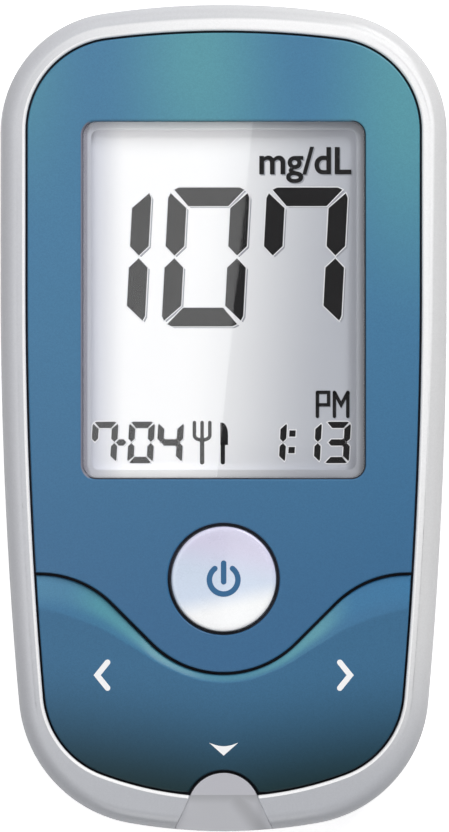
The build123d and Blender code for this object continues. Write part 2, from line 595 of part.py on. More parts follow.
# ------------------------------------------------------------------- strip port
port = column(port_plan(), SPLIT_Z + SEAT_GAP, HEIGHT + 1) & crown(-PORT_PROUD)
port = port & drafted_case(HEIGHT + 1)
crease_z = crown_z(0, PORT_Y, -PORT_PROUD)
fall_to = crease_z - NOSE_FALL * (PORT_Y - BOTTOM + 1) / (PORT_Y - BOTTOM)
port -= extrude(Plane.YZ * make_face(Polyline(
    (PORT_Y, crease_z), (PORT_Y, HEIGHT + 1), (BOTTOM - 1, HEIGHT + 1), (BOTTOM - 1, fall_to),
    close=True)), amount=WIDTH, both=True)
port -= block(-SLOT_W / 2, SLOT_W / 2, BOTTOM - 2, BOTTOM + 12,
              SLOT_Z - SLOT_H / 2, SLOT_Z + SLOT_H / 2)
port -= loft([
    Plane.XZ.offset(0.5 - BOTTOM) * Pos(0, SLOT_Z) * Rectangle(
        SLOT_W + 2 * SLOT_MOUTH, SLOT_H + 4 / 3 * SLOT_MOUTH),
    Plane.XZ.offset(-1.2 - BOTTOM) * Pos(0, SLOT_Z) * Rectangle(SLOT_W, SLOT_H)])
strip_port = one_solid(port)

# ------------------------------------------------------------- strip connector
CONN_Y0 = PORT_Y - sqrt(PORT_ROUND_R ** 2 - PORT_HALF ** 2) + PORT_ROUND_R + SEAT_GAP
CONN_TOP = bearing_low - 0.1
connector = block(-CONN_W / 2, CONN_W / 2, CONN_Y0, CONN_Y0 + CONN_L, BOARD_TOP, CONN_TOP)
connector -= block(-SLOT_W / 2 - 0.1, SLOT_W / 2 + 0.1, CONN_Y0 - 1, CONN_Y0 + CONN_L - 1.0,
                   SLOT_Z - SLOT_H / 2, SLOT_Z + SLOT_H / 2)
CONTACT_X = (-CONN_W / 5, 0.0, CONN_W / 5)
slot_top = SLOT_Z + SLOT_H / 2
strip_contacts = []
conn_end = CONN_Y0 + CONN_L
for x in CONTACT_X:
    x0, x1 = x - PAD_W / 2, x + PAD_W / 2
    connector -= block(x0 - 0.1, x1 + 0.1, conn_end - 2, conn_end + 1,
                       slot_top - PAD_T - 0.1, slot_top)
    contact = block(x0, x1, CONN_Y0 + 1.5, conn_end + PAD_T, slot_top - PAD_T, slot_top)
    contact += block(x0, x1, conn_end, conn_end + PAD_T, BOARD_TOP, slot_top)
    contact += block(x0, x1, conn_end, conn_end + 1.0, BOARD_TOP, BOARD_TOP + PAD_T)
    strip_contacts.append(one_solid(contact))
strip_connector = one_solid(connector)

# ------------------------------------------------------------------ rear cover
rear = drafted_case(0)
rear = fillet(rear.faces().sort_by(Axis.Z)[0].edges(), BACK_ROUND)
hollow = column(inner_plan, SKIN, SPLIT_Z + 1)
hollow = chamfer(hollow.faces().sort_by(Axis.Z)[0].edges(), BACK_ROUND / 3)
rear -= hollow
rear -= column(outline(CASE_FORM, -1), SPLIT_Z - 0.25, SPLIT_Z + 1) - column(
    outline(CASE_FORM, 0.3), SPLIT_Z - 1, SPLIT_Z + 1)
lip = column(lip_plan, SPLIT_Z - 0.5, SPLIT_Z + LIP_H) - column(
    inner_plan, SPLIT_Z - 1, SPLIT_Z + LIP_H + 1)
lip -= block(-PORT_HALF_OUT - 1, PORT_HALF_OUT + 1, -LENGTH, -LENGTH / 4, SPLIT_Z, HEIGHT)
rear += lip

# battery bay: a frame round the door, a deck with a round well for each cell
CEILING_Z = CELL_Z + CELL_T + CONTACT_T + CONTACT_RISE
BAY_TOP = CEILING_Z + BAY_CEILING_T
WELL_R = CELL_R + 0.25
frame_x = DOOR_W / 2 + DOOR_GAP
frame_y0 = DOOR_Y0 - DOOR_GAP
frame_y1 = DOOR_Y1 + DOOR_BARREL_R + HINGE_GAP
wells = [(0, BAY_Y + CELL_PITCH / 2), (0, BAY_Y - CELL_PITCH / 2)]
bay = block(-frame_x - BAY_WALL, frame_x + BAY_WALL, frame_y0 - BAY_WALL, frame_y1 + BAY_WALL,
            SKIN / 2, SEAT_DECK_Z + BAY_WALL)
for x, y in wells:
    bay += post(x, y, WELL_R + BAY_WALL, SEAT_DECK_Z, BAY_TOP)
rear += bay
rear -= block(-frame_x, frame_x, frame_y0, DOOR_Y1, -1, SEAT_DECK_Z)
for x, y in wells:
    rear -= post(x, y, WELL_R, -1, CEILING_Z)

# hinge: the door's barrel turns in a rounded channel, its pins in two holes
barrel_hole_r = DOOR_BARREL_R + HINGE_GAP
hinge_z = DOOR_SINK + DOOR_BARREL_R
rear -= rod_x(DOOR_Y1, hinge_z, barrel_hole_r, -frame_x, frame_x)
turn = radians(DOOR_OPEN)
edge_y = barrel_hole_r / sin(turn) - hinge_z / tan(turn)
rear -= extrude(Plane.YZ.offset(-frame_x) * make_face(Polyline(
    (DOOR_Y1 - 2, hinge_z), (DOOR_Y1 + barrel_hole_r * sin(turn), hinge_z - barrel_hole_r * cos(turn)),
    (DOOR_Y1 + edge_y - 1 / tan(turn), -1), (DOOR_Y1 - 2, -1), close=True)), amount=2 * frame_x)
rear -= rod_x(DOOR_Y1, hinge_z, DOOR_PIN_R + HINGE_GAP, -frame_x - DOOR_PIN, frame_x + DOOR_PIN)

# screw towers, counterbored from the back
for x, y in (SCREW_TOP, SCREW_BOTTOM):
    for side in (-1, 1):
        rear += post(side * x, y, SCREW_HEAD_R + 0.2 + BAY_WALL, SKIN / 2, SCREW_SEAT_Z + 1.2)
        rear += post(side * x, y, BOSS_R, SKIN, BOARD_UNDER)
        rear -= post(side * x, y, SCREW_HEAD_R + 0.2, -1, SCREW_SEAT_Z)
        rear -= post(side * x, y, SCREW_R + FIT_GAP, -1, SPLIT_Z)

# slots for the battery contacts, opening for the latch of the door
for x, y in wells:
    rear -= block(-CELL_R - CONTACT_T - 0.1, -CELL_R + 0.1, y - CONTACT_W / 2 - 0.1,
                  y + CONTACT_W / 2 + 0.1, SEAT_DECK_Z, BAY_TOP + 1)
    rear -= block(NEG_LEG_X - 0.1, NEG_LEG_X + CONTACT_T + 0.1, y - CONTACT_W / 2 - 0.1,
                  y + CONTACT_W / 2 + 0.1, CEILING_Z - 0.1, BAY_TOP + 1)
rear -= block(-LATCH_W / 2 - 0.4, LATCH_W / 2 + 0.4, DOOR_Y0 - LATCH_HOOK - 0.8,
              DOOR_Y0 + LATCH_T + 0.3, SKIN, SEAT_DECK_Z + BAY_WALL + 0.1)

# opening for the data plug, finger notch of the door, sound slots
rear -= rod_y(0, JACK_Z, JACK_HOLE_R, TOP - WALL - 2, TOP + 1)
rear -= rod_x(DOOR_Y0 - 1.0, NOTCH_DEPTH - NOTCH_R, NOTCH_R, -NOTCH_W / 2, NOTCH_W / 2)
for i in (-1, 0, 1):
    slot_y = CHIP_Y + i * SOUND_PITCH
    rear -= block(CHIP_X + BUZZER_R / 2, CHIP_X + BUZZER_R / 2 + SOUND_L,
                  slot_y - SOUND_W / 2, slot_y + SOUND_W / 2, -1, SKIN + 1)
rear_cover = one_solid(rear)

# ---------------------------------------------------------------- battery door
door = block(-DOOR_W / 2, DOOR_W / 2, DOOR_Y0, DOOR_Y1, DOOR_SINK, DOOR_SINK + DOOR_T)
door += rod_x(DOOR_Y1, hinge_z, DOOR_BARREL_R, -DOOR_W / 2, DOOR_W / 2)
door += rod_x(DOOR_Y1, hinge_z, DOOR_PIN_R, -DOOR_W / 2 - DOOR_PIN + 0.2, DOOR_W / 2 + DOOR_PIN - 0.2)
for x in (-DOOR_W / 4, 0.0, DOOR_W / 4):
    door += block(x - 0.5, x + 0.5, DOOR_Y0 + 4, DOOR_Y1 - 4,
                  DOOR_SINK + DOOR_T, SEAT_DECK_Z - SEAT_GAP)
for i in range(4):
    grip_y = DOOR_Y0 + 2.5 + i * GRIP_PITCH
    door -= block(-DOOR_W / 5, DOOR_W / 5, grip_y - GRIP_DEPTH, grip_y + GRIP_DEPTH,
                  -1, DOOR_SINK + GRIP_DEPTH)
battery_door = one_solid(door)

# the latch springs back as the door closes; it is moulded with the door
door_top = DOOR_SINK + DOOR_T
door_latch = block(-LATCH_W / 2, LATCH_W / 2, DOOR_Y0 + 0.1, DOOR_Y0 + 0.1 + LATCH_T,
                   door_top, door_top + LATCH_H)
door_latch += block(-LATCH_W / 2, LATCH_W / 2, DOOR_Y0 - LATCH_HOOK, DOOR_Y0 + 0.1 + LATCH_T,
                    SKIN + 0.1, SKIN + 0.9)
hook_edge = door_latch.edges().filter_by(Axis.X).sort_by(Axis.Y)[0:2].sort_by(Axis.Z)[0]
door_latch = one_solid(chamfer(hook_edge, 0.5))

# --------------------------------------------------------------- coin cells
coin_cell = []
for x, y in wells:
    can = post(x, y, CELL_R, CELL_Z, CELL_Z + CELL_T - CELL_STEP)
    can = chamfer(can.edges().sort_by(Axis.Z)[0], CELL_STEP / 2)
    coin_cell.append(one_solid(can + post(x, y, CELL_R - CELL_RIM, CELL_Z + 1, CELL_Z + CELL_T)))

# battery contacts: a leaf with a dimple over each cell, a blade beside it
negative_contact = []
positive_contact = []
for x, y in wells:
    leaf = block(-2.0, NEG_LEG_X + CONTACT_T, y - CONTACT_W / 2, y + CONTACT_W / 2,
                 CEILING_Z - CONTACT_T, CEILING_Z)
    leaf += post(0, y, 1.2, CELL_Z + CELL_T, CEILING_Z - 0.1)
    leaf += block(NEG_LEG_X, NEG_LEG_X + CONTACT_T, y - CONTACT_W / 2, y + CONTACT_W / 2,
                  CEILING_Z - CONTACT_T, BOARD_UNDER)
    negative_contact.append(one_solid(leaf))
    positive_contact.append(block(-CELL_R - CONTACT_T, -CELL_R, y - CONTACT_W / 2,
                                  y + CONTACT_W / 2, SEAT_DECK_Z + 0.6, BOARD_UNDER))

# ------------------------------------------------------------------- data jack
JACK_END = TOP - WALL - 0.2
jack = block(-JACK_W / 2, JACK_W / 2, JACK_END - JACK_L, JACK_END - JACK_NOSE_L,
             2 * JACK_Z - BOARD_UNDER, BOARD_UNDER)
jack += rod_y(0, JACK_Z, JACK_NOSE_R, JACK_END - JACK_NOSE_L - 0.5, JACK_END)
jack -= rod_y(0, JACK_Z, JACK_BORE_R, JACK_END - JACK_L + 1.0, JACK_END + 1)
data_jack = one_solid(jack)

# --------------------------------------------------------------------- screws
screws = []
for x, y in (SCREW_TOP, SCREW_BOTTOM):
    for side in (-1, 1):
        screw = post(side * x, y, SCREW_HEAD_R, SCREW_SEAT_Z - SCREW_HEAD_T, SCREW_SEAT_Z)
        screw = chamfer(screw.edges().sort_by(Axis.Z)[0], SCREW_HEAD_T / 4)
        screw += post(side * x, y, SCREW_R, SCREW_SEAT_Z - 0.1, BOARD_TOP + SCREW_BITE)
        for angle in (0, 90):
            screw -= Pos(side * x, y, SCREW_SEAT_Z - SCREW_HEAD_T) * Rot(Z=angle) * Box(*SCREW_CROSS)
        screws.append(one_solid(screw))

pieces = {
    "front_cover": front_cover, "chassis": chassis, "faceplate": faceplate,
    "window_lens": window_lens, "scroll_key": scroll_key, "power_button": power_button,
    "lcd_glass": lcd_glass, "lcd_gasket": lcd_gasket, "lcd_holder": lcd_holder,
    "zebra_strip": zebra_strip, "main_board": main_board, "keypad": keypad,
    "control_chip": control_chip, "capacitors": Compound(capacitors), "crystal": crystal,
    "buzzer": buzzer, "strip_port": strip_port, "strip_connector": strip_connector,
    "strip_contacts": Compound(strip_contacts), "data_jack": data_jack,
    "rear_cover": rear_cover, "battery_door": battery_door, "door_latch": door_latch,
    "coin_cell": Compound(coin_cell), "negative_contact": Compound(negative_contact),
    "positive_contact": Compound(positive_contact), "case_screw": Compound(screws),
}
for name, shape in pieces.items():
    export_step(shape, f"parts/{name}.step")
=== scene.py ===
from math import atan2, ceil, cos, hypot, pi, radians, sin, sqrt, tan

import bmesh
import bpy
from bpy.props import FloatProperty, FloatVectorProperty, PointerProperty, StringProperty
from bpy.types import Operator, Panel, PropertyGroup
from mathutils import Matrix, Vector


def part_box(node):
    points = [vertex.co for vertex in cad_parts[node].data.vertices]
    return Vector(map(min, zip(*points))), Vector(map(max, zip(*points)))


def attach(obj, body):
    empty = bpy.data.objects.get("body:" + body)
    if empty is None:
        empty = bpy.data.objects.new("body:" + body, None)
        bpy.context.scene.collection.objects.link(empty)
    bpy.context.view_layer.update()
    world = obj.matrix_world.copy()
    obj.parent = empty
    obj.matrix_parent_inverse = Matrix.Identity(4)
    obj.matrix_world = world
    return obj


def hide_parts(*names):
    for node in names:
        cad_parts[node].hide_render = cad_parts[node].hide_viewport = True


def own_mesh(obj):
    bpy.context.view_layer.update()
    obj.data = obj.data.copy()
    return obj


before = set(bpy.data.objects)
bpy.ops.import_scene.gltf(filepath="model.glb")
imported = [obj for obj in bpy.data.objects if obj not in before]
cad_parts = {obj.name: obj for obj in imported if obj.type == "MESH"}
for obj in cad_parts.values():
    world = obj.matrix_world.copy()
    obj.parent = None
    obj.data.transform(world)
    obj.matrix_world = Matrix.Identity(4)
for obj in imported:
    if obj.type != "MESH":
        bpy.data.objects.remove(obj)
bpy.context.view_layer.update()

bl_info = {
    "name": "Glucose meter looks",
    "version": (1, 0, 0),
    "blender": (4, 5, 0),
    "location": "3D View > Sidebar > Meter",
    "description": "Builds the visible pieces and finishes of a blood glucose meter on its CAD frame",
    "category": "Object",
}

MM = 0.001

# places and sizes that the frame gives
CASE_LOW, CASE_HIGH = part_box("front_cover")
LENS_LOW, LENS_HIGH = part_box("window_lens")
BUTTON_LOW, BUTTON_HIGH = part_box("power_button")
SEAM_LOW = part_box("faceplate")[0].y       # lowest point of the faceplate
GLASS_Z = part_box("lcd_glass")[1].z        # face of the display
PUSHER_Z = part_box("scroll_key")[0].z      # lower end of the scroll key's pushers
HALF = CASE_HIGH.x
TOP = CASE_HIGH.y
BOTTOM = -TOP
JOINT_Z = CASE_LOW.z                      # joint between the front and the rear cover
FLANGE_R = BUTTON_HIGH.x
BUTTON_Y = BUTTON_LOW.y + FLANGE_R

# outlines of the case and of the recess for the faceplate and the scroll key
WAIST_Y = TOP - 34.0 * MM                 # below it the sides close in
CASE_FORM = {"top_r": 98.9 * MM, "top_corner": 14.5 * MM, "side_r": 570.0 * MM,
             "bottom_r": 66.0 * MM, "bottom_corner": 16.2 * MM}
RECESS_FORM = {"top_r": 112.0 * MM, "top_corner": 11.2 * MM, "side_r": 590.0 * MM,
               "bottom_r": 42.0 * MM, "bottom_corner": 11.0 * MM}

# clearances
SEAT_GAP = 0.05 * MM                      # fixed pieces that drop into each other
BODY_GAP = 0.01 * MM                      # between closed bodies of one piece

# lap joint of the front cover
LAP_RISE = 1.25 * MM
LAP_GAP = 0.025 * MM
SIDE_CLEAR = 4.0 * MM                     # the rim's face lies more than this above the joint

# strip port
PORT_NOSE = 4.6 * MM                      # length of its sloping nose
PORT_Y = BOTTOM + PORT_NOSE               # crease between the nose and the round end
PORT_MOUTH = 6.1 * MM                     # its half width at the end of the case

# rib, axle and pushers of the scroll key
RIB_Y0 = -39.2 * MM
RIB_Y1 = -33.4 * MM
RIB_HALF = 0.85 * MM
AXLE_Z = 13.3 * MM
AXLE_R = 0.8 * MM
AXLE_PIN = 1.3 * MM                       # how far it stands out of the rib
PUSHER_X = 15.0 * MM
PUSHER_R = 1.5 * MM
BAND_START = 5.0 * MM                     # the band widens between these distances
BAND_END = 19.0 * MM                      # from the middle

# power button below its face
FLANGE_UP = 2.09 * MM                     # flange above the stem's end
FLANGE_THICK = 1.0 * MM
BUTTON_PROUD = 0.2 * MM                   # face above the faceplate
BUTTON_SKIN = 1.5 * MM
STEM_R = 2.0 * MM
NOTCH_HALF = 0.75 * MM                    # notch in the flange, round a peg of the chassis
NOTCH_DEPTH = 0.65 * MM

HARD_EDGE = 32.0                          # edges that turn more than this stay hard, in degrees

# thin layers
FILM = 0.03 * MM                          # the print behind the window
PRINT = 0.03 * MM                         # signs and digits on the display
PRINT_FOOT = 0.01 * MM                    # how far they reach below its face
SLEEVE = 0.04 * MM                        # wall of the sleeve below the window

# places on the display
READING_X = -19.35 * MM
READING_Y = 11.05 * MM
SMALL_Y = -5.45 * MM
DATE_X = -16.05 * MM
CLOCK_X = 4.3 * MM
UNIT_X = 4.3 * MM
UNIT_Y = 29.47 * MM
UNIT_WIDTH = 11.1 * MM
UNIT_HEIGHT = 3.3 * MM
HALF_DAY_X = 11.3 * MM
HALF_DAY_Y = 0.2 * MM
MEAL_X = -2.6 * MM

# directions in plan
TO_RIGHT = (1.0, 0.0, 0.0)
TO_TOP = (0.0, 1.0, 0.0)
TO_BOTTOM = (0.0, -1.0, 0.0)


def size(name, description, default):
    return FloatProperty(name=name, description=description, default=default * MM, min=0.0,
                         unit="LENGTH", precision=5)


def colour(name, description, red, green, blue):
    return FloatVectorProperty(name=name, description=description, subtype="COLOR", size=3,
                               default=(red / 255, green / 255, blue / 255), min=0.0, max=1.0)


class MeterForm(PropertyGroup):
    crown_top: size("Crown height", "Height of the domed front above the table", 18.0)
    crown_radius: size("Crown radius", "Radius of the domed front", 900.0)
    crown_y: size("Crown place", "Where the dome is highest, above the middle", 6.0)
    draft: FloatProperty(name="Draft", description="Lean of the side walls", subtype="ANGLE",
                         default=radians(1.5))
    rim_side: size("Rim at the sides", "Width of the rim in plan", 3.1)
    rim_top: size("Rim at the top", "Width of the rim in plan", 3.3)
    rim_bottom: size("Rim at the bottom", "Width of the rim in plan", 4.3)
    rim_round: size("Rim rounding", "Radius of the rim's outer edge", 2.0)
    rim_edge: size("Rim inner edge", "Rounding of the rim's inner edge", 0.35)
    # the lip settings give the width of a painted highlight beside the faceplate, wider at the upper
    # right
    lip_highlight_width: size("Rim lip", "Width of the polished lip beside the faceplate", 0.75)
    lip_highlight_growth: FloatProperty(name="Lip growth", min=0.0, default=0.7,
                              description="How much wider the lip is at the upper right")
    rim_thick: size("Rim thickness", "Depth of the rim's inner wall", 2.0)
    wall: size("Wall", "Wall of the front cover", 1.8)
    plate_gap: size("Gap", "Dark line round the faceplate and the key", 0.27)
    plate_sink: size("Plate sink", "Faceplate below the rim", 0.15)
    plate_thick: size("Plate thickness", "Thickness of the faceplate", 1.3)
    plate_edge: size("Plate edge", "Rounding of the faceplate's edges", 0.2)
    window_edge: size("Window edge", "Rounding round the window", 0.35)
    window_corner: size("Window corner", "Corner radius of the window", 1.6)
    window_border: size("Window border", "Printed border behind the window", 0.95)
    lens_sink: size("Lens sink", "Window surface below the rim", 0.55)


class MeterKeys(PropertyGroup):
    seam_gap: size("Seam gap", "Dark line between the faceplate and the key", 0.35)
    seam_bend: size("Seam bend", "Radius of the seam's bends", 12.3)
    seam_rise: size("Seam rise", "From the seam's lowest point to its ends", 12.0)
    band_depth: size("Band depth", "The key falls this much towards the seam", 0.5)
    band_middle: size("Band in the middle", "Width of the sloping band", 0.95)
    band_side: size("Band at the sides", "Width of the sloping band", 3.9)
    button_radius: size("Button radius", "Power button", 6.325)
    button_ring: size("Button ring", "Dark ring round the button", 0.43)
    button_edge: size("Button edge", "Rounding of the button", 0.35)
    button_dish: size("Button dish", "Depth of its hollow", 0.55)
    dish_radius: size("Dish radius", "Radius of its hollow", 30.0)
    port_half: size("Port half width", "At the crease of its nose", 3.97)
    port_radius: size("Port end radius", "Round end of the port", 4.33)
    print_lift: size("Print thickness", "Height of the printed marks", 0.03)
    dome_height: size("Dome height", "Rubber domes above the keypad mat", 0.7)
    mat_edge: size("Mat edge", "Keypad mat beyond the middle of its outer domes", 4.5)


class MeterDisplay(PropertyGroup):
    reading: StringProperty(name="Reading", description="Large digits", default="107")
    date: StringProperty(name="Date", description="Small digits, lower left", default="7-04")
    clock: StringProperty(name="Clock", description="Small digits, lower right", default="1:13")
    digit_height: size("Digit height", "Large digits", 16.75)
    digit_width: size("Digit width", "Large digits", 9.8)
    digit_pitch: size("Digit pitch", "Large digits", 11.85)
    digit_bar: size("Digit bar", "Width of a segment of the large digits", 2.25)
    small_height: size("Small digit height", "Date and clock", 5.0)
    small_width: size("Small digit width", "Date and clock", 3.1)
    small_pitch: size("Small digit pitch", "Date and clock", 3.5)
    small_bar: size("Small digit bar", "Width of a segment of the small digits", 0.76)
    slant: FloatProperty(name="Slant", description="Lean of the digits", subtype="ANGLE",
                         default=radians(3.0))


class MeterColours(PropertyGroup):
    # painted shade and highlight on the rim: paler on the right, darker on the left and at the lower
    # end, with a painted highlight along the lip
    rim: colour("Rim", "Front cover, right side", 219, 219, 220)
    rim_left_shade: colour("Rim, left side", "Front cover, left side", 202, 203, 208)
    rim_low_shade: colour("Rim, low end", "Front cover, lower end", 187, 189, 195)
    lip_highlight: colour("Rim lip", "Polished lip beside the faceplate", 252, 252, 253)
    back: colour("Back", "Rear cover and battery door", 214, 214, 219)
    # the faceplate's sheen colour is a painted sheen
    plate: colour("Plate", "Faceplate, middle", 66, 122, 160)
    plate_low: colour("Plate, low end", "Faceplate beside the key", 54, 104, 146)
    plate_sheen: colour("Plate sheen", "Faceplate, sheens at the top", 86, 152, 166)
    # painted shade darkens the key towards its lower end; the band colours are a painted sheen on its
    # sloping band
    key: colour("Key", "Scroll key, upper part", 64, 111, 147)
    key_shaded_end: colour("Key, dark end", "Scroll key, lower end", 19, 43, 42)
    band: colour("Key band", "Sheen on the right half of the band", 98, 158, 173)
    band_left: colour("Key band, left", "Sheen on the left half of the band", 86, 149, 165)
    band_end: colour("Key band end", "Right end of the band", 65, 121, 162)
    band_left_end: colour("Key band, left end", "Left end of the band", 82, 133, 165)
    band_low: colour("Key band, middle", "Sheen where the band is narrow", 78, 136, 160)
    band_foot: colour("Key band, foot", "Sloping band along its crease", 66, 116, 155)
    # the button's lowest colour is a painted white glare
    button: colour("Button", "Power button, upper part", 224, 221, 244)
    button_middle: colour("Button, middle", "Power button, middle", 214, 226, 244)
    button_glare: colour("Button, low part", "Power button, lower part", 253, 254, 255)
    mark: colour("Printed marks", "Arrows on the key", 254, 254, 255)
    icon: colour("Icon", "Sign on the power button", 62, 108, 150)
    port: colour("Port", "Strip port, round part", 190, 190, 197)
    port_nose: colour("Port nose", "Strip port below its crease", 205, 206, 212)
    frame_pale: colour("Window frame", "Sleeve between the window and the display", 214, 214, 220)
    # painted shade at the window's edge: a strip for its left inner wall in its light and shade, and a
    # dark line for the gap on the right and below
    window_left_wall_shading: colour("Window edge, left", "Strip along the left edge", 128, 127, 141)
    window_gap_shade: colour("Window line", "Dark line, right and lower edge", 34, 35, 42)
    deck: colour("Deck", "Chassis behind the faceplate", 38, 41, 58)
    # the display's left and right colours are painted shade beside its palest part
    display: colour("Display", "Display, palest part", 254, 254, 255)
    display_left_shade: colour("Display, left side", "Display, left side", 181, 184, 196)
    display_right_shade: colour("Display, dark side", "Display, right side", 183, 186, 194)
    segment: colour("Segment", "Lit segments", 14, 13, 15)


class MeterStage(PropertyGroup):
    camera_height: size("Camera height", "Above the table", 2000.0)
    view_height: size("View height", "Height of the picture on the object", 100.48)
    softbox_height: size("Softbox height", "Large softbox above the left half", 1000.0)
    softbox_level: FloatProperty(name="Softbox level", description="Its brightness, 1 is white",
                                 default=1.45, min=0.0)
    side_level: FloatProperty(name="Side light level", description="Its brightness, 1 is white",
                              default=10.8, min=0.0)
    room_level: FloatProperty(name="Room level", description="Light from all round",
                              default=0.15, min=0.0, max=1.0)


# ------------------------------------------------------------------ plan curves
def arc(cx, cy, radius, start, end, steps):
    """Points with outward normals along an arc, without its last point; angles in radians."""
    turns = [start + (end - start) * i / steps for i in range(steps)]
    return [(cx + radius * cos(t), cy + radius * sin(t), cos(t), sin(t)) for t in turns]


def lower_meeting(ax, ay, ar, bx, by, br):
    """The lower crossing of two circles."""
    gap = hypot(bx - ax, by - ay)
    along = (ar * ar - br * br + gap * gap) / (2 * gap)
    off = sqrt(ar * ar - along * along)
    ux, uy = (bx - ax) / gap, (by - ay) / gap
    pair = [(ax + along * ux - off * uy, ay + along * uy + off * ux),
            (ax + along * ux + off * uy, ay + along * uy - off * ux)]
    return min(pair, key=lambda p: p[1])


def ring(half, top, bottom, top_r, top_corner, side_r, bottom_r, bottom_corner):
    """Clockwise outline of the case or of the recess, with its outward normals."""
    end_steps, bend_steps, flat_steps = 14, 26, 10
    top_c, side_c, low_c = top - top_r, half - side_r, bottom + bottom_r
    up_x = half - top_corner
    up_y = top_c + sqrt((top_r - top_corner) ** 2 - up_x ** 2)
    dn_x, dn_y = lower_meeting(side_c, WAIST_Y, side_r - bottom_corner,
                               0, low_c, bottom_r - bottom_corner)
    up_turn = atan2(up_y - top_c, up_x)
    side_turn = atan2(dn_y - WAIST_Y, dn_x - side_c)
    low_turn = atan2(dn_y - low_c, dn_x)
    right = arc(0, top_c, top_r, pi / 2, up_turn, end_steps)
    right += arc(up_x, up_y, top_corner, up_turn, 0, bend_steps)
    right += [(half, up_y + (WAIST_Y - up_y) * i / flat_steps, 1, 0) for i in range(flat_steps)]
    right += arc(side_c, WAIST_Y, side_r, 0, side_turn, bend_steps)
    right += arc(dn_x, dn_y, bottom_corner, side_turn, low_turn, bend_steps)
    right += arc(0, low_c, bottom_r, low_turn, -pi / 2, end_steps)
    right.append((0, bottom, 0, -1))
    return right + [(-x, y, -nx, ny) for x, y, nx, ny in reversed(right[1:-1])]


def case_ring():
    """Outline of the case at the joint of its covers."""
    return ring(HALF, TOP, BOTTOM, **CASE_FORM)


def recess_ring(form):
    """Outline of the recess that takes the faceplate and the scroll key."""
    return ring(HALF - form.rim_side, TOP - form.rim_top, BOTTOM + form.rim_bottom, **RECESS_FORM)


def inset(points, by):
    """The ring moved inwards along its normals, as plain points."""
    return [(x - by * nx, y - by * ny) for x, y, nx, ny in points]


def inward(points):
    """For each point of a closed line, the direction to its right."""
    out = []
    for i, (x, y) in enumerate(points):
        ax, ay = points[i - 1]
        bx, by = points[(i + 1) % len(points)]
        one = Vector((y - ay, ax - x)).normalized()
        two = Vector((by - y, x - bx)).normalized()
        out.append((one + two).normalized())
    return out


def offset(points, by):
    """A closed line moved to the right of its direction, with a limit at sharp corners."""
    sharpest = 0.4
    moved = []
    for i, way in enumerate(inward(points)):
        x, y = points[i]
        ax, ay = points[i - 1]
        across = Vector((y - ay, ax - x)).normalized()
        reach = by / max(sharpest, way.dot(across))
        moved.append((x + way.x * reach, y + way.y * reach))
    return moved


def crown_z(form, x, y, drop=0.0):
    """Height of the domed front over a point, sunk by drop."""
    radius = form.crown_radius
    return form.crown_top - radius + sqrt((radius - drop) ** 2 - x * x - (y - form.crown_y) ** 2)


def crown(form, drop=0.0):
    """The domed front, sunk by drop, as a height function."""
    return lambda x, y: crown_z(form, x, y, drop)


def flat_at(z):
    """A flat height function."""
    return lambda x, y: z


def seam_y(keys, x, shift=0.0):
    """Place along Y of the S-shaped seam at x, moved down by shift."""
    low = SEAM_LOW - keys.seam_gap / 2
    low_r = keys.seam_bend + shift
    top_r = keys.seam_bend - shift
    low_c, top_c = low + keys.seam_bend, low + keys.seam_rise - keys.seam_bend
    s = sin(pi / 4)
    run = (keys.seam_rise - 2 * keys.seam_bend * (1 - s)) / s
    out = 2 * keys.seam_bend * s + run * s
    x = abs(x)
    if x < low_r * s:
        return low_c - sqrt(low_r ** 2 - x * x)
    if x > out:
        return top_c + top_r
    if x > out - top_r * s:
        return top_c + sqrt(top_r ** 2 - (out - x) ** 2)
    part = (x - low_r * s) / (out - top_r * s - low_r * s)
    return low_c - low_r * s + part * (top_c + top_r * s - low_c + low_r * s)


def circle(x, y, radius, steps):
    """A counter-clockwise circle."""
    return [(px, py) for px, py, _, _ in arc(x, y, radius, 0, 2 * pi, steps)]


def round_box(x0, x1, y0, y1, radius, steps=8):
    """A counter-clockwise rectangle with round corners."""
    corners = [(x1 - radius, y1 - radius, 0), (x0 + radius, y1 - radius, pi / 2),
               (x0 + radius, y0 + radius, pi), (x1 - radius, y0 + radius, 3 * pi / 2)]
    out = []
    for cx, cy, start in corners:
        turns = [start + pi / 2 * i / steps for i in range(steps + 1)]
        out += [(cx + radius * cos(t), cy + radius * sin(t)) for t in turns]
    return out


# ---------------------------------------------------------------- mesh building
def add_object(name, bm, material, body, nodes=(), sharp=HARD_EDGE, skin=None):
    """Turns a bmesh into a finished piece on its body. skin is the height function of its
    upper face, which then gives the normals."""
    mesh = bpy.data.meshes.new(name)
    bmesh.ops.recalc_face_normals(bm, faces=bm.faces)
    for face in bm.faces:
        face.smooth = True
    bm.to_mesh(mesh)
    bm.free()
    mesh.set_sharp_from_angle(angle=radians(sharp))
    if skin:
        shade_by_formula(mesh, skin)
    if "lean" in mesh.attributes:
        mesh.attributes.remove(mesh.attributes["lean"])
    piece = bpy.data.objects.new(name, mesh)
    bpy.context.scene.collection.objects.link(piece)
    return finish_piece(piece, material, body, nodes)


def shade_by_formula(mesh, skin):
    """Sets the normals of a slab from its height function, so that reflections run smoothly."""
    lean = mesh.attributes["lean"].data
    near, downwards, unmarked = 0.02 * MM, -0.2, 0.1
    normals = []
    for face in mesh.polygons:
        for i in face.vertices:
            way = Vector(lean[i].vector)
            rise = lean[i].vector[2]
            if face.normal.z < downwards or way.length < unmarked:
                normals.append(face.normal.copy())
                continue
            x, y, _ = mesh.vertices[i].co
            up = Vector((skin(x - near, y) - skin(x + near, y),
                         skin(x, y - near) - skin(x, y + near), 2 * near)).normalized()
            way.z = 0.0
            aside = sqrt(max(0.0, 1.0 - rise * rise))
            normals.append((up * rise + way.normalized() * aside).normalized())
    mesh.normals_split_custom_set(normals)


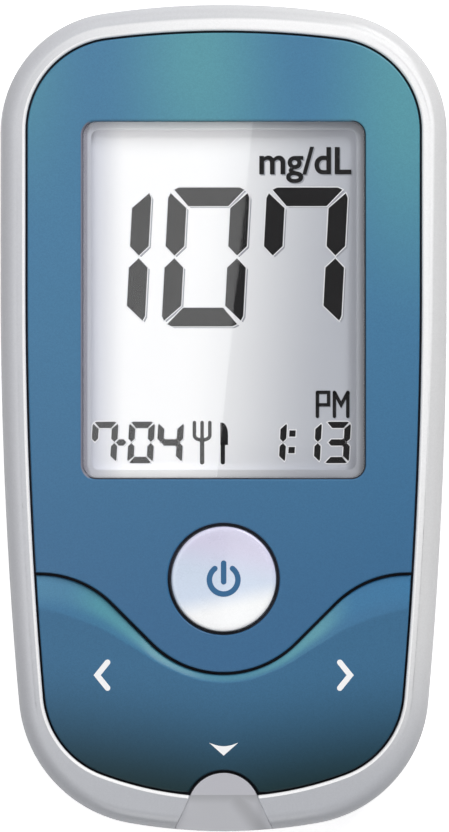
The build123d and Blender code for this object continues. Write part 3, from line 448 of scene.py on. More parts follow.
def finish_piece(piece, material, body, nodes=()):
    """Gives a piece its material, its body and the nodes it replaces."""
    piece.data.materials.clear()
    piece.data.materials.append(material)
    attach(piece, body)
    if nodes:
        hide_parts(*nodes)
    return piece


def settle(piece):
    """Makes the modifiers' result the piece's own mesh."""
    bpy.context.view_layer.update()
    graph = bpy.context.evaluated_depsgraph_get()
    mesh = bpy.data.meshes.new_from_object(piece.evaluated_get(graph), depsgraph=graph)
    mesh.name = piece.name
    old = piece.data
    piece.modifiers.clear()
    piece.data = mesh
    bpy.data.meshes.remove(old)


def bridge(bm, low, high):
    """Faces between two closed rows of points."""
    for i in range(len(low)):
        bm.faces.new((low[i - 1], low[i], high[i], high[i - 1]))


def loft(bm, rings):
    """Joins rings of points into walls, and the last ring to the first."""
    rows = [[bm.verts.new(p) for p in points] for points in rings]
    for low, high in zip(rows, rows[1:]):
        bridge(bm, low, high)
    bridge(bm, rows[-1], rows[0])
    return rows


UNDERSIDE = -1.0          # marks a plate's lower face until it is draped


def edge_rings(part, lean, points, edge, steps=4):
    """The wall of a plate with a rounded upper edge; returns its lowest and highest rows. The
    layer lean keeps each point's direction in plan and how far it faces up."""
    ways = [-way for way in inward(points)]
    levels = [(0.0, UNDERSIDE, 0.0)]
    for turn in [pi / 2 * i / steps for i in range(steps + 1)] if edge else [0.0]:
        levels.append((edge * (1 - cos(turn)), edge * (sin(turn) - 1), sin(turn)))
    rows = []
    for inset_by, z, rise in levels:
        rows.append([part.verts.new((x, y, z)) for x, y in offset(points, inset_by)])
        for vert, way in zip(rows[-1], ways):
            vert[lean] = (way.x, way.y, rise)
        if len(rows) > 1:
            bridge(part, rows[-2], rows[-1])
    return rows[0], rows[-1]


def drape(bm, part, top, low):
    """Moves a plate's flat upper and lower faces to two height functions and adds it."""
    for vert in part.verts:
        x, y, z = vert.co
        vert.co.z = low(x, y) if z < UNDERSIDE / 2 else top(x, y) + z
    join(bm, part)


def add_lattice(part, step):
    """Splits a part's faces along lines in plan that lie about step apart."""
    for axis in (0, 1):
        values = [v.co[axis] for v in part.verts]
        first, last = min(values), max(values)
        count = ceil((last - first) / step)
        for i in range(1, count):
            place, direction = Vector((0, 0, 0)), Vector((0, 0, 0))
            place[axis] = first + (last - first) * i / count
            direction[axis] = 1
            bmesh.ops.bisect_plane(part, geom=part.verts[:] + part.edges[:] + part.faces[:],
                                   plane_co=place, plane_no=direction, dist=1e-7)


def slab(bm, loops, top, low, step=0.0):
    """Adds a closed plate that follows two height functions. loops are pairs of a line and
    the radius of its upper edge: the outer one clockwise, holes counter-clockwise. step is
    the spacing of the lattice that lets the plate follow a curved surface."""
    part = bmesh.new()
    lean = part.verts.layers.float_vector.new("lean")
    pairs = [edge_rings(part, lean, points, edge) for points, edge in loops]
    for lower_or_upper in (0, 1):
        rim = []
        for line in [pair[lower_or_upper] for pair in pairs]:
            for i in range(len(line)):
                ends = (line[i - 1], line[i])
                rim.append(part.edges.get(ends) or part.edges.new(ends))
        bmesh.ops.triangle_fill(part, use_beauty=True, use_dissolve=False, edges=rim)
    if step:
        add_lattice(part, step)
    drape(bm, part, top, low)


def mapped_plate(bm, upper, under, top, low, edge, rows):
    """Adds a closed plate between two lines that run from left to right and share their ends.
    Its faces lie in rows between the lines, close together along the upper one."""
    part = bmesh.new()
    lean = part.verts.layers.float_vector.new("lean")
    last = len(upper) - 1
    crowding, floor_rows = 1.6, 6
    floor_row, top_row = edge_rings(part, lean, upper + under[-2:0:-1], edge)
    for line, count in ((top_row, rows), (floor_row, floor_rows)):
        high = line[:last + 1]
        deep = [line[0]] + line[:last:-1] + [line[last]]
        before = high
        for k in range(1, count + 1):
            after = [line[0]]
            part_way = (k / count) ** crowding
            for a, b in zip(high[1:-1], deep[1:-1]):
                if k == count:
                    after.append(b)
                    continue
                after.append(part.verts.new(a.co.lerp(b.co, part_way)))
                after[-1][lean] = (1.0, 0.0, 1.0)
            after.append(line[last])
            for i in range(last):
                corners = (before[i], before[i + 1], after[i + 1], after[i])
                part.faces.new(list(dict.fromkeys(corners)))
            before = after
    drape(bm, part, top, low)


def raised(points, height):
    """Points in plan with the heights of a height function."""
    return [(x, y, height(x, y)) for x, y in points]


def join(bm, part):
    """Adds a finished part to a bmesh."""
    mesh = bpy.data.meshes.new("part")
    part.to_mesh(mesh)
    part.free()
    bm.from_mesh(mesh)
    bpy.data.meshes.remove(mesh)


def block(bm, x0, x1, y0, y1, z0, z1):
    """A box between three pairs of places."""
    made = bmesh.ops.create_cube(bm, size=1.0)["verts"]
    bmesh.ops.scale(bm, verts=made, vec=(x1 - x0, y1 - y0, z1 - z0))
    bmesh.ops.translate(bm, verts=made, vec=((x0 + x1) / 2, (y0 + y1) / 2, (z0 + z1) / 2))


def rod(bm, radius, start, end):
    """A round rod from one point to another."""
    start, end = Vector(start), Vector(end)
    made = bmesh.ops.create_cone(bm, cap_ends=True, segments=32, radius1=radius,
                                 radius2=radius, depth=(end - start).length)["verts"]
    turn = (end - start).to_track_quat("Z", "Y").to_matrix()
    bmesh.ops.rotate(bm, verts=made, cent=(0, 0, 0), matrix=turn)
    bmesh.ops.translate(bm, verts=made, vec=(start + end) / 2)


def lathe(bm, profile, x, y, steps):
    """A body turned from a profile of radii and heights that starts and ends on its axis."""
    rows = []
    for r, z in profile:
        turns = [2 * pi * i / steps for i in range(steps if r else 1)]
        rows.append([bm.verts.new((x + r * cos(turn), y + r * sin(turn), z)) for turn in turns])
    for low, high in zip(rows, rows[1:]):
        for i in range(steps):
            corners = [low[(i - 1) % len(low)], low[i % len(low)],
                       high[i % len(high)], high[(i - 1) % len(high)]]
            bm.faces.new(list(dict.fromkeys(corners)))


def cut(piece, tool_bm):
    """Takes a tool's volume out of a piece."""
    mesh = bpy.data.meshes.new("tool")
    bmesh.ops.recalc_face_normals(tool_bm, faces=tool_bm.faces)
    tool_bm.to_mesh(mesh)
    tool_bm.free()
    tool = bpy.data.objects.new("tool", mesh)
    bpy.context.scene.collection.objects.link(tool)
    modifier = piece.modifiers.new("cut", "BOOLEAN")
    modifier.operation = "DIFFERENCE"
    modifier.solver = "EXACT"
    modifier.object = tool
    settle(piece)
    bpy.data.objects.remove(tool)
    bpy.data.meshes.remove(mesh)


def soft_copy(node, name, material, body, bevel=0.0):
    """A merged copy of a CAD node with slightly broken edges, in place of the node."""
    bm = bmesh.new()
    bm.from_mesh(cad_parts[node].data)
    bmesh.ops.remove_doubles(bm, verts=bm.verts, dist=1e-6)
    bmesh.ops.dissolve_degenerate(bm, edges=bm.edges, dist=1e-6)
    if bevel:
        bmesh.ops.dissolve_limit(bm, angle_limit=radians(1.0), verts=bm.verts, edges=bm.edges)
    for face in bm.faces:
        face.smooth = True
    mesh = bpy.data.meshes.new(name)
    bm.to_mesh(mesh)
    bm.free()
    mesh.set_sharp_from_angle(angle=radians(HARD_EDGE))
    piece = bpy.data.objects.new(name, mesh)
    bpy.context.scene.collection.objects.link(piece)
    if bevel:
        modifier = piece.modifiers.new("edges", "BEVEL")
        modifier.width = bevel
        modifier.segments = 2
        modifier.limit_method = "ANGLE"
        modifier.angle_limit = radians(40)
        modifier.harden_normals = True
        settle(piece)
    return finish_piece(piece, material, body, (node,))


# -------------------------------------------------------------------- materials
def linear(values):
    """A screen colour as a linear colour with full alpha."""
    return tuple(v / 12.92 if v < 0.04045 else ((v + 0.055) / 1.055) ** 2.4 for v in values) + (1.0,)


class Nodes:
    """Short way to add and join the nodes of one tree."""

    def __init__(self, tree):
        self.tree = tree

    def add(self, kind, settings=None, **inputs):
        """A node with its settings; an underscore in an input's name stands for a space."""
        node = self.tree.nodes.new(kind)
        for key, value in (settings or {}).items():
            setattr(node, key, value)
        for key, value in inputs.items():
            self.feed(node, key.replace("_", " "), value)
        return node

    def feed(self, node, key, value):
        """Gives a node's input a value or a link; key is its name or its number."""
        key = int(key) if key.isdigit() else key
        if isinstance(value, bpy.types.NodeSocket):
            self.tree.links.new(value, node.inputs[key])
        else:
            node.inputs[key].default_value = value

    def maths(self, operation, first, second=0.0):
        """One step of arithmetic."""
        node = self.tree.nodes.new("ShaderNodeMath")
        node.operation = operation
        self.feed(node, "0", first)
        self.feed(node, "1", second)
        return node.outputs[0]

    def blend(self, factor, first, second, mode="MIX"):
        """A mix of two colours."""
        node = self.tree.nodes.new("ShaderNodeMix")
        node.data_type = "RGBA"
        node.blend_type = mode
        self.feed(node, "0", factor)
        self.feed(node, "6", first)
        self.feed(node, "7", second)
        return node.outputs[2]

    def shaded(self, tone, level):
        """A colour made lighter or darker by a level."""
        tint = self.add("ShaderNodeCombineColor", Red=level, Green=level, Blue=level)
        return self.blend(1.0, tone, tint.outputs[0], "MULTIPLY")

    def ramp(self, value, low, high):
        """A soft 0 to 1 ramp between two values."""
        node = self.add("ShaderNodeMapRange", {"interpolation_type": "SMOOTHSTEP"},
                        Value=value, From_Min=low, From_Max=high)
        return node.outputs[0]


def group(name, inputs, outputs):
    """An empty shader group with its sockets; inputs map a name to a default value."""
    tree = bpy.data.node_groups.new(name, "ShaderNodeTree")
    for key, value in inputs.items():
        if isinstance(value, str):
            kind = "NodeSocketVector"
        else:
            kind = "NodeSocketColor" if isinstance(value, tuple) else "NodeSocketFloat"
        socket = tree.interface.new_socket(name=key, in_out="INPUT", socket_type=kind)
        if kind != "NodeSocketVector":
            socket.default_value = value
    for key, kind in outputs.items():
        tree.interface.new_socket(name=key, in_out="OUTPUT", socket_type=kind)
    nodes = Nodes(tree)
    return nodes, nodes.add("NodeGroupInput").outputs, nodes.add("NodeGroupOutput").inputs


def moulding_group():
    """Fine grain of moulded plastic, faint mottling and patches polished by handling."""
    found = bpy.data.node_groups.get("moulded surface")
    if found:
        return found
    nodes, given, result = group(
        "moulded surface",
        {"Vector": "vector", "Grain size": 0.25 * MM, "Mottle": 0.04, "Colour": (0.8, 0.8, 0.8, 1.0),
         "Roughness": 0.4, "Wear": 0.06},
        {"Colour": "NodeSocketColor", "Roughness": "NodeSocketFloat", "Height": "NodeSocketFloat"})
    links = nodes.tree.links.new
    patches, clouds = 90.0, 450.0         # about 11 mm and 2 mm across
    scale = nodes.maths("DIVIDE", 1.0, given["Grain size"])
    fine = nodes.add("ShaderNodeTexNoise", Vector=given["Vector"], Scale=scale, Detail=3.0,
                     Roughness=0.6)
    cells = nodes.add("ShaderNodeTexVoronoi", Vector=given["Vector"],
                      Scale=nodes.maths("MULTIPLY", scale, 0.7))
    broad = nodes.add("ShaderNodeTexNoise", Vector=given["Vector"], Scale=patches, Detail=4.0)
    cloud = nodes.add("ShaderNodeTexNoise", Vector=given["Vector"], Scale=clouds, Detail=2.0)
    height = nodes.maths("ADD", nodes.maths("MULTIPLY", fine.outputs[0], 0.7),
                         nodes.maths("MULTIPLY", cells.outputs[0], 0.3))
    mix = nodes.maths("ADD", nodes.maths("MULTIPLY", broad.outputs[0], 0.6),
                      nodes.maths("MULTIPLY", cloud.outputs[0], 0.4))
    uneven = nodes.maths("MULTIPLY", nodes.maths("SUBTRACT", mix, 0.5), given["Mottle"])
    shade = nodes.maths("ADD", 1.0, uneven)
    links(nodes.shaded(given["Colour"], shade), result["Colour"])
    polish = nodes.maths("MULTIPLY", nodes.ramp(broad.outputs[0], 0.42, 0.68), given["Wear"])
    rough = nodes.maths("ADD", nodes.maths("SUBTRACT", given["Roughness"], polish),
                        nodes.maths("MULTIPLY", fine.outputs[0], 0.03))
    links(rough, result["Roughness"])
    links(height, result["Height"])
    return nodes.tree


def pearl_group():
    """Pearl paint: tiny flakes that are a little lighter or darker than the colour."""
    found = bpy.data.node_groups.get("pearl flakes")
    if found:
        return found
    nodes, given, result = group(
        "pearl flakes",
        {"Vector": "vector", "Colour": (0.3, 0.5, 0.6, 1.0), "Flake size": 0.12 * MM,
         "Strength": 0.12},
        {"Colour": "NodeSocketColor"})
    flakes = nodes.add("ShaderNodeTexVoronoi", Vector=given["Vector"],
                       Scale=nodes.maths("DIVIDE", 1.0, given["Flake size"]))
    parts = nodes.add("ShaderNodeSeparateColor", Color=flakes.outputs["Color"])
    lean = nodes.maths("SUBTRACT", parts.outputs[0], 0.5)
    shade = nodes.maths("ADD", 1.0, nodes.maths("MULTIPLY", lean, given["Strength"]))
    nodes.tree.links.new(nodes.shaded(given["Colour"], shade), result["Colour"])
    return nodes.tree


def window_group():
    """Distance from the edge of the window in plan, below 0 inside it, and masks of its sides."""
    found = bpy.data.node_groups.get("window distance")
    if found:
        return found
    nodes, given, result = group(
        "window distance", {"Vector": "vector", "Corner": 1.6 * MM},
        {"Distance": "NodeSocketFloat", "Right and below": "NodeSocketFloat",
         "Left": "NodeSocketFloat"})

    def vector(operation, first, second=(0.0, 0.0, 0.0)):
        node = nodes.add("ShaderNodeVectorMath", {"operation": operation})
        nodes.feed(node, "0", first)
        nodes.feed(node, "1", second)
        return node.outputs["Value" if operation == "LENGTH" else "Vector"]

    links = nodes.tree.links.new
    middle = (LENS_LOW + LENS_HIGH) / 2
    half = (LENS_HIGH - LENS_LOW) / 2
    flat = vector("MULTIPLY", vector("SUBTRACT", given["Vector"], (middle.x, middle.y, 0.0)),
                  (1.0, 1.0, 0.0))
    corner = nodes.add("ShaderNodeCombineXYZ", X=given["Corner"], Y=given["Corner"])
    past = vector("SUBTRACT", vector("ABSOLUTE", flat), (half.x, half.y, 0.0))
    past = vector("ADD", past, corner.outputs[0])
    outside = vector("LENGTH", vector("MAXIMUM", past))
    parts = nodes.add("ShaderNodeSeparateXYZ")
    nodes.feed(parts, "0", past)
    inside = nodes.maths("MINIMUM", nodes.maths("MAXIMUM", parts.outputs[0], parts.outputs[1]), 0.0)
    distance = nodes.maths("SUBTRACT", nodes.maths("ADD", outside, inside), given["Corner"])
    links(distance, result["Distance"])
    place = nodes.add("ShaderNodeSeparateXYZ")
    nodes.feed(place, "0", flat)
    to_left = nodes.maths("MULTIPLY", place.outputs[0], -1.0)
    downwards = nodes.maths("MULTIPLY", place.outputs[1], -1.0)
    right = nodes.ramp(place.outputs[0], half.x - 2 * MM, half.x - 1 * MM)
    below = nodes.ramp(downwards, half.y - 2 * MM, half.y - 1 * MM)
    links(nodes.maths("MAXIMUM", right, below), result["Right and below"])
    links(nodes.ramp(to_left, half.x - 1 * MM, half.x - 0.5 * MM), result["Left"])
    return nodes.tree


def start_material(name):
    """A new material: its node helper, Principled shader and Object coordinates."""
    material = bpy.data.materials.new(name)
    material.use_nodes = True
    nodes = Nodes(material.node_tree)
    shader = material.node_tree.nodes["Principled BSDF"]
    place = nodes.add("ShaderNodeTexCoord").outputs["Object"]
    return material, nodes, shader, place


def surface(nodes, shader, place, base, roughness, grain, depth, mottle, wear):
    """Gives a shader the moulded surface; base is a colour or a socket, sizes in mm."""
    skin = nodes.add("ShaderNodeGroup", {"node_tree": moulding_group()}, Vector=place, Colour=base,
                     Grain_size=grain * MM, Mottle=mottle, Roughness=roughness, Wear=wear)
    links = nodes.tree.links.new
    links(skin.outputs["Colour"], shader.inputs["Base Color"])
    links(skin.outputs["Roughness"], shader.inputs["Roughness"])
    bump = nodes.add("ShaderNodeBump", Height=skin.outputs["Height"], Strength=1.0,
                     Distance=depth * MM)
    links(bump.outputs[0], shader.inputs["Normal"])


def plastic(name, rgb, roughness=0.4, grain=0.25, depth=0.004, mottle=0.04, wear=0.05):
    """Moulded plastic or rubber; grain and depth in mm."""
    found = bpy.data.materials.get(name)
    if found:
        return found
    material, nodes, shader, place = start_material(name)
    surface(nodes, shader, place, linear(rgb), roughness, grain, depth, mottle, wear)
    return material


def metal(name, rgb, roughness):
    """Plated sheet metal with a faint rolling direction."""
    found = bpy.data.materials.get(name)
    if found:
        return found
    material, nodes, shader, place = start_material(name)
    shader.inputs["Metallic"].default_value = 1.0
    drawn = nodes.add("ShaderNodeMapping", Vector=place, Scale=(1.0, 0.15, 1.0))
    surface(nodes, shader, drawn.outputs[0], linear(rgb), roughness, grain=0.15, depth=0.002,
            mottle=0.10, wear=0.10)
    return material


def axis_ramp(nodes, place, weights, low, high):
    """A soft 0 to 1 ramp along a direction in object space; low and high in mm."""
    dot = nodes.add("ShaderNodeVectorMath", {"operation": "DOT_PRODUCT"})
    nodes.feed(dot, "0", place)
    nodes.feed(dot, "1", weights)
    return nodes.ramp(dot.outputs["Value"], low * MM, high * MM)


def rim_material(colours):
    """Pearl white with painted shade: paler on the right, darker on the left and at the lower end, and
    a painted highlight along the lip beside the faceplate.
    """
    material, nodes, shader, place = start_material("rim pearl white")
    shader.inputs["Coat Roughness"].default_value = 0.12
    shader.inputs["Coat Weight"].default_value = 0.15
    # painted shade: the rim darkens to the left and towards its lower end
    across = axis_ramp(nodes, place, TO_RIGHT, low=-26.0, high=26.0)
    above_end = axis_ramp(nodes, place, TO_TOP, low=-47.0, high=-24.0)
    tone = nodes.blend(across, linear(colours.rim_left_shade), linear(colours.rim))
    tone = nodes.blend(above_end, linear(colours.rim_low_shade), tone)
    # painted highlight: the lip beside the faceplate, brightest towards the upper right
    lip_highlight = nodes.add("ShaderNodeAttribute", {"attribute_name": "lip_highlight"}).outputs["Fac"]
    upper_right = axis_ramp(nodes, place, (1.0, 0.6, 0.0), low=-12.0, high=34.0)
    lit = nodes.maths("MULTIPLY", nodes.ramp(lip_highlight, 0.05, 0.45), upper_right)
    bright = nodes.maths("MAXIMUM", lit, nodes.ramp(lip_highlight, 0.6, 0.95))
    shade = nodes.blend(bright, tone, linear(colours.lip_highlight))
    pearl = nodes.add("ShaderNodeGroup", {"node_tree": pearl_group()}, Vector=place,
                      Colour=shade, Flake_size=0.14 * MM, Strength=0.05)
    surface(nodes, shader, place, pearl.outputs["Colour"], roughness=0.34, grain=0.3, depth=0.002,
            mottle=0.03, wear=0.05)
    return material


def pearl_blue(name, shade_of, gloss):
    """Pearl blue paint; shade_of takes the helper and the place and returns its colour."""
    material, nodes, shader, place = start_material(name)
    shader.inputs["Coat Weight"].default_value = 0.06
    shader.inputs["Coat Roughness"].default_value = 0.15
    shader.inputs["Specular IOR Level"].default_value = gloss
    pearl = nodes.add("ShaderNodeGroup", {"node_tree": pearl_group()}, Vector=place,
                      Colour=shade_of(nodes, place), Flake_size=0.12 * MM, Strength=0.12)
    surface(nodes, shader, place, pearl.outputs["Colour"], roughness=0.36, grain=0.25, depth=0.002,
            mottle=0.04, wear=0.05)
    return material


def plate_material(colours):
    """Deep blue below, with painted teal sheens that come and go across the top."""
    def shade(nodes, place):
        rising = axis_ramp(nodes, place, TO_TOP, low=-34.0, high=24.0)
        base = nodes.blend(rising, linear(colours.plate_low), linear(colours.plate))
        across = nodes.add("ShaderNodeSeparateXYZ")
        nodes.feed(across, "0", place)
        # painted sheen: teal reflections in waves across the upper part
        sheen_x, sheen_pitch = -3.0 * MM, 25.0 * MM
        turn = nodes.maths("MULTIPLY", nodes.maths("ADD", across.outputs[0], -sheen_x),
                           2 * pi / sheen_pitch)
        wave = nodes.maths("MULTIPLY", nodes.maths("ADD", nodes.maths("COSINE", turn), 1.15), 0.46)
        upper = axis_ramp(nodes, place, (0.25, 1.0, 0.0), low=14.0, high=43.0)
        sheen = nodes.maths("MULTIPLY", wave, upper)
        paint = nodes.blend(sheen, base, linear(colours.plate_sheen))
        window = nodes.add("ShaderNodeGroup", {"node_tree": window_group()}, Vector=place).outputs
        # side of the window, colour of its edge, and where the colour fades, in mm; the edge colours
        # are painted shade: the window's left inner wall in its light and shade, and shade in the gap
        # on the right and below
        for side, tone, low, high in (("Right and below", colours.window_gap_shade, 0.12, 0.24),
                                      ("Left", colours.window_left_wall_shading, 0.2, 0.35)):
            near = nodes.maths("SUBTRACT", 1.0, nodes.ramp(window["Distance"], low * MM, high * MM))
            paint = nodes.blend(nodes.maths("MULTIPLY", near, window[side]), paint, linear(tone))
        return paint
    return pearl_blue("plate pearl blue", shade, gloss=0.35)


def key_material(colours):
    """Blue with painted shade that darkens it towards the port, and a painted teal sheen on the
    sloping band.
    """
    def shade(nodes, place):
        parts = nodes.add("ShaderNodeSeparateXYZ")
        nodes.feed(parts, "0", place)
        aside = nodes.maths("ABSOLUTE", parts.outputs[0])
        lower = nodes.maths("SUBTRACT", nodes.maths("MULTIPLY", aside, 0.12), parts.outputs[1])
        # painted shade: darker towards the port
        dark = nodes.ramp(lower, 30.6 * MM, 48.2 * MM)
        base = nodes.blend(dark, linear(colours.key), linear(colours.key_shaded_end))
        facing = nodes.add("ShaderNodeSeparateXYZ")
        nodes.feed(facing, "0", nodes.add("ShaderNodeTexCoord").outputs["Normal"])
        # painted sheen where the band faces the top, towards the light
        slope = nodes.ramp(facing.outputs[1], 0.0, 0.1)
        return nodes.blend(slope, base, band_sheen(nodes, place, parts.outputs[0], aside, colours))
    return pearl_blue("key pearl blue", shade, gloss=0.15)


def band_sheen(nodes, place, across, aside, colours):
    """Painted sheen of the sloping band: it changes in the middle, at both ends and towards its
    crease.
    """
    right = axis_ramp(nodes, place, TO_RIGHT, low=-5.0, high=5.0)
    sheen = nodes.blend(right, linear(colours.band_left), linear(colours.band))
    off_middle = nodes.ramp(aside, 2.0 * MM, 9.0 * MM)
    sheen = nodes.blend(off_middle, linear(colours.band_low), sheen)
    ends_x = -1.75 * MM                   # the two ends lie evenly about this place
    from_ends_x = nodes.maths("ABSOLUTE", nodes.maths("ADD", across, -ends_x))
    ends = nodes.blend(right, linear(colours.band_left_end), linear(colours.band_end))
    sheen = nodes.blend(nodes.ramp(from_ends_x, 12.5 * MM, 18.0 * MM), sheen, ends)
    down = nodes.add("ShaderNodeAttribute", {"attribute_name": "band"}).outputs["Fac"]
    return nodes.blend(nodes.ramp(down, 0.45, 1.2), sheen, linear(colours.band_foot))


def button_material(colours):
    """Pearl white that turns from lilac at the top to a painted white glare at the bottom."""
    material, nodes, shader, place = start_material("button pearl")
    shader.inputs["Coat Weight"].default_value = 0.4
    shader.inputs["Coat Roughness"].default_value = 0.1
    middle = axis_ramp(nodes, place, (-0.2, -1.0, 0.0), low=15.0, high=19.5)
    # painted highlight: white glare across the lower part
    white = axis_ramp(nodes, place, (0.2, -1.0, 0.0), low=20.5, high=23.5)
    shade = nodes.blend(middle, linear(colours.button), linear(colours.button_middle))
    shade = nodes.blend(white, shade, linear(colours.button_glare))
    pearl = nodes.add("ShaderNodeGroup", {"node_tree": pearl_group()}, Vector=place, Colour=shade,
                      Flake_size=0.1 * MM, Strength=0.05)
    surface(nodes, shader, place, pearl.outputs["Colour"], roughness=0.28, grain=0.25, depth=0.001,
            mottle=0.02, wear=0.04)
    return material


def lens_material():
    """Clear window that lets light through to the display."""
    material, nodes, shader, place = start_material("clear window")
    shader.inputs["Transmission Weight"].default_value = 1.0
    shader.inputs["IOR"].default_value = 1.46
    smear = nodes.add("ShaderNodeTexNoise", Vector=place, Scale=60.0, Detail=3.0)
    rough = nodes.add("ShaderNodeMapRange", Value=smear.outputs[0], From_Min=0.35, From_Max=0.75,
                      To_Min=0.0, To_Max=0.03)
    nodes.feed(shader, "Roughness", rough.outputs[0])
    tint = nodes.blend(smear.outputs[0], (0.99, 0.995, 1.0, 1.0), (1.0, 1.0, 1.0, 1.0))
    nodes.feed(shader, "Base Color", tint)
    clear = nodes.add("ShaderNodeBsdfTransparent")
    rays = nodes.add("ShaderNodeLightPath")
    passing = nodes.maths("MAXIMUM", rays.outputs["Is Shadow Ray"], rays.outputs["Is Diffuse Ray"])
    mix = nodes.add("ShaderNodeMixShader")
    nodes.feed(mix, "0", passing)
    links = nodes.tree.links.new
    links(shader.outputs[0], mix.inputs[1])
    links(clear.outputs[0], mix.inputs[2])
    links(mix.outputs[0], nodes.tree.nodes["Material Output"].inputs["Surface"])
    return material


def display_shade(nodes, place, colours):
    """Colour of the display: palest a little left of the middle, with painted shade towards the left
    edge and towards the right, where the glare ends.
    """
    left = axis_ramp(nodes, place, TO_RIGHT, low=-16.8, high=-11.3)
    right = axis_ramp(nodes, place, (1.0, -0.08, 0.0), low=-6.0, high=13.0)
    shade = nodes.blend(left, linear(colours.display_left_shade), linear(colours.display))
    return nodes.blend(right, shade, linear(colours.display_right_shade))


def display_material(colours):
    """Polariser film over the display's reflector, in the display's colour with its painted shade."""
    material, nodes, shader, place = start_material("display film")
    surface(nodes, shader, place, display_shade(nodes, place, colours), roughness=0.35, grain=0.12,
            depth=0.001, mottle=0.02, wear=0.03)
    return material


def border_material(form, colours):
    """Print behind the window: it carries the display's colour and painted shade on to the edge and
    darkens it outwards with painted shade.
    """
    material, nodes, shader, place = start_material("border print")
    window = nodes.add("ShaderNodeGroup", {"node_tree": window_group()}, Vector=place).outputs
    outwards = nodes.ramp(window["Distance"], -form.window_border, 0.0)
    upper, lower = LENS_HIGH.y / MM, -LENS_LOW.y / MM
    top = axis_ramp(nodes, place, TO_TOP, low=upper - 1.3, high=upper - 0.6)
    below = axis_ramp(nodes, place, TO_BOTTOM, low=lower - 1.3, high=lower - 0.6)
    # painted shade: darker towards the window's edge and at the top, lighter below, as the deck's
    # walls shade the display
    level = nodes.maths("SUBTRACT", 0.86, nodes.maths("MULTIPLY", outwards, 0.16))
    level = nodes.maths("SUBTRACT", level, nodes.maths("MULTIPLY", top, 0.02))
    level = nodes.maths("ADD", level, nodes.maths("MULTIPLY", below, 0.1))
    shade = nodes.shaded(display_shade(nodes, place, colours), level)
    # side of the window, colour of its edge, and where the colour fades, in mm; both edge colours are
    # painted shade
    for side, tone, low, high in (("Left", colours.window_left_wall_shading, -0.6, -0.45),
                                  ("Right and below", colours.window_gap_shade, -0.14, -0.06)):
        at_edge = nodes.ramp(window["Distance"], low * MM, high * MM)
        shade = nodes.blend(nodes.maths("MULTIPLY", at_edge, window[side]), shade, linear(tone))
    surface(nodes, shader, place, shade, roughness=0.5, grain=0.12, depth=0.001, mottle=0.05,
            wear=0.03)
    return material


def port_material(colours):
    """Grey strip port with painted shade along its crease and a painted dark reflection in a stripe
    down the right of its nose.
    """
    material, nodes, shader, place = start_material("port grey")
    # painted shade below the crease and a painted dark reflection down the right of the nose
    nose = axis_ramp(nodes, place, TO_BOTTOM, low=45.35, high=45.5)
    past_crease = axis_ramp(nodes, place, TO_BOTTOM, low=45.5, high=46.7)
    crease = nodes.maths("SUBTRACT", nose, past_crease)
    slanting = (0.8, 0.6, 0.0)
    side = nodes.maths("SUBTRACT", axis_ramp(nodes, place, slanting, low=-27.8, high=-26.2),
                       axis_ramp(nodes, place, slanting, low=-26.0, high=-24.9))
    painted_shade_mask = nodes.maths("MULTIPLY", nodes.maths("MAXIMUM", crease, side), nose)
    level = nodes.maths("SUBTRACT", 1.0, nodes.maths("MULTIPLY", painted_shade_mask, 0.2))
    tone = nodes.blend(nose, linear(colours.port), linear(colours.port_nose))
    surface(nodes, shader, place, nodes.shaded(tone, level), roughness=0.42, grain=0.22,
            depth=0.003, mottle=0.04, wear=0.06)
    return material


def print_material(name, rgb):
    """Matt ink."""
    material = plastic(name, rgb, roughness=0.6, grain=0.12, depth=0.001, mottle=0.05, wear=0.03)
    shader = material.node_tree.nodes["Principled BSDF"]
    shader.inputs["Specular IOR Level"].default_value = 0.1
    return material


# ---------------------------------------------------------------------- pieces
class MeterOperator:
    """Base of the operators: the settings and a plain way to finish."""
    bl_options = {"REGISTER", "UNDO"}

    def execute(self, context):
        self.build(context.scene.meter_form, context.scene.meter_keys,
                   context.scene.meter_display, context.scene.meter_colours)
        return {"FINISHED"}


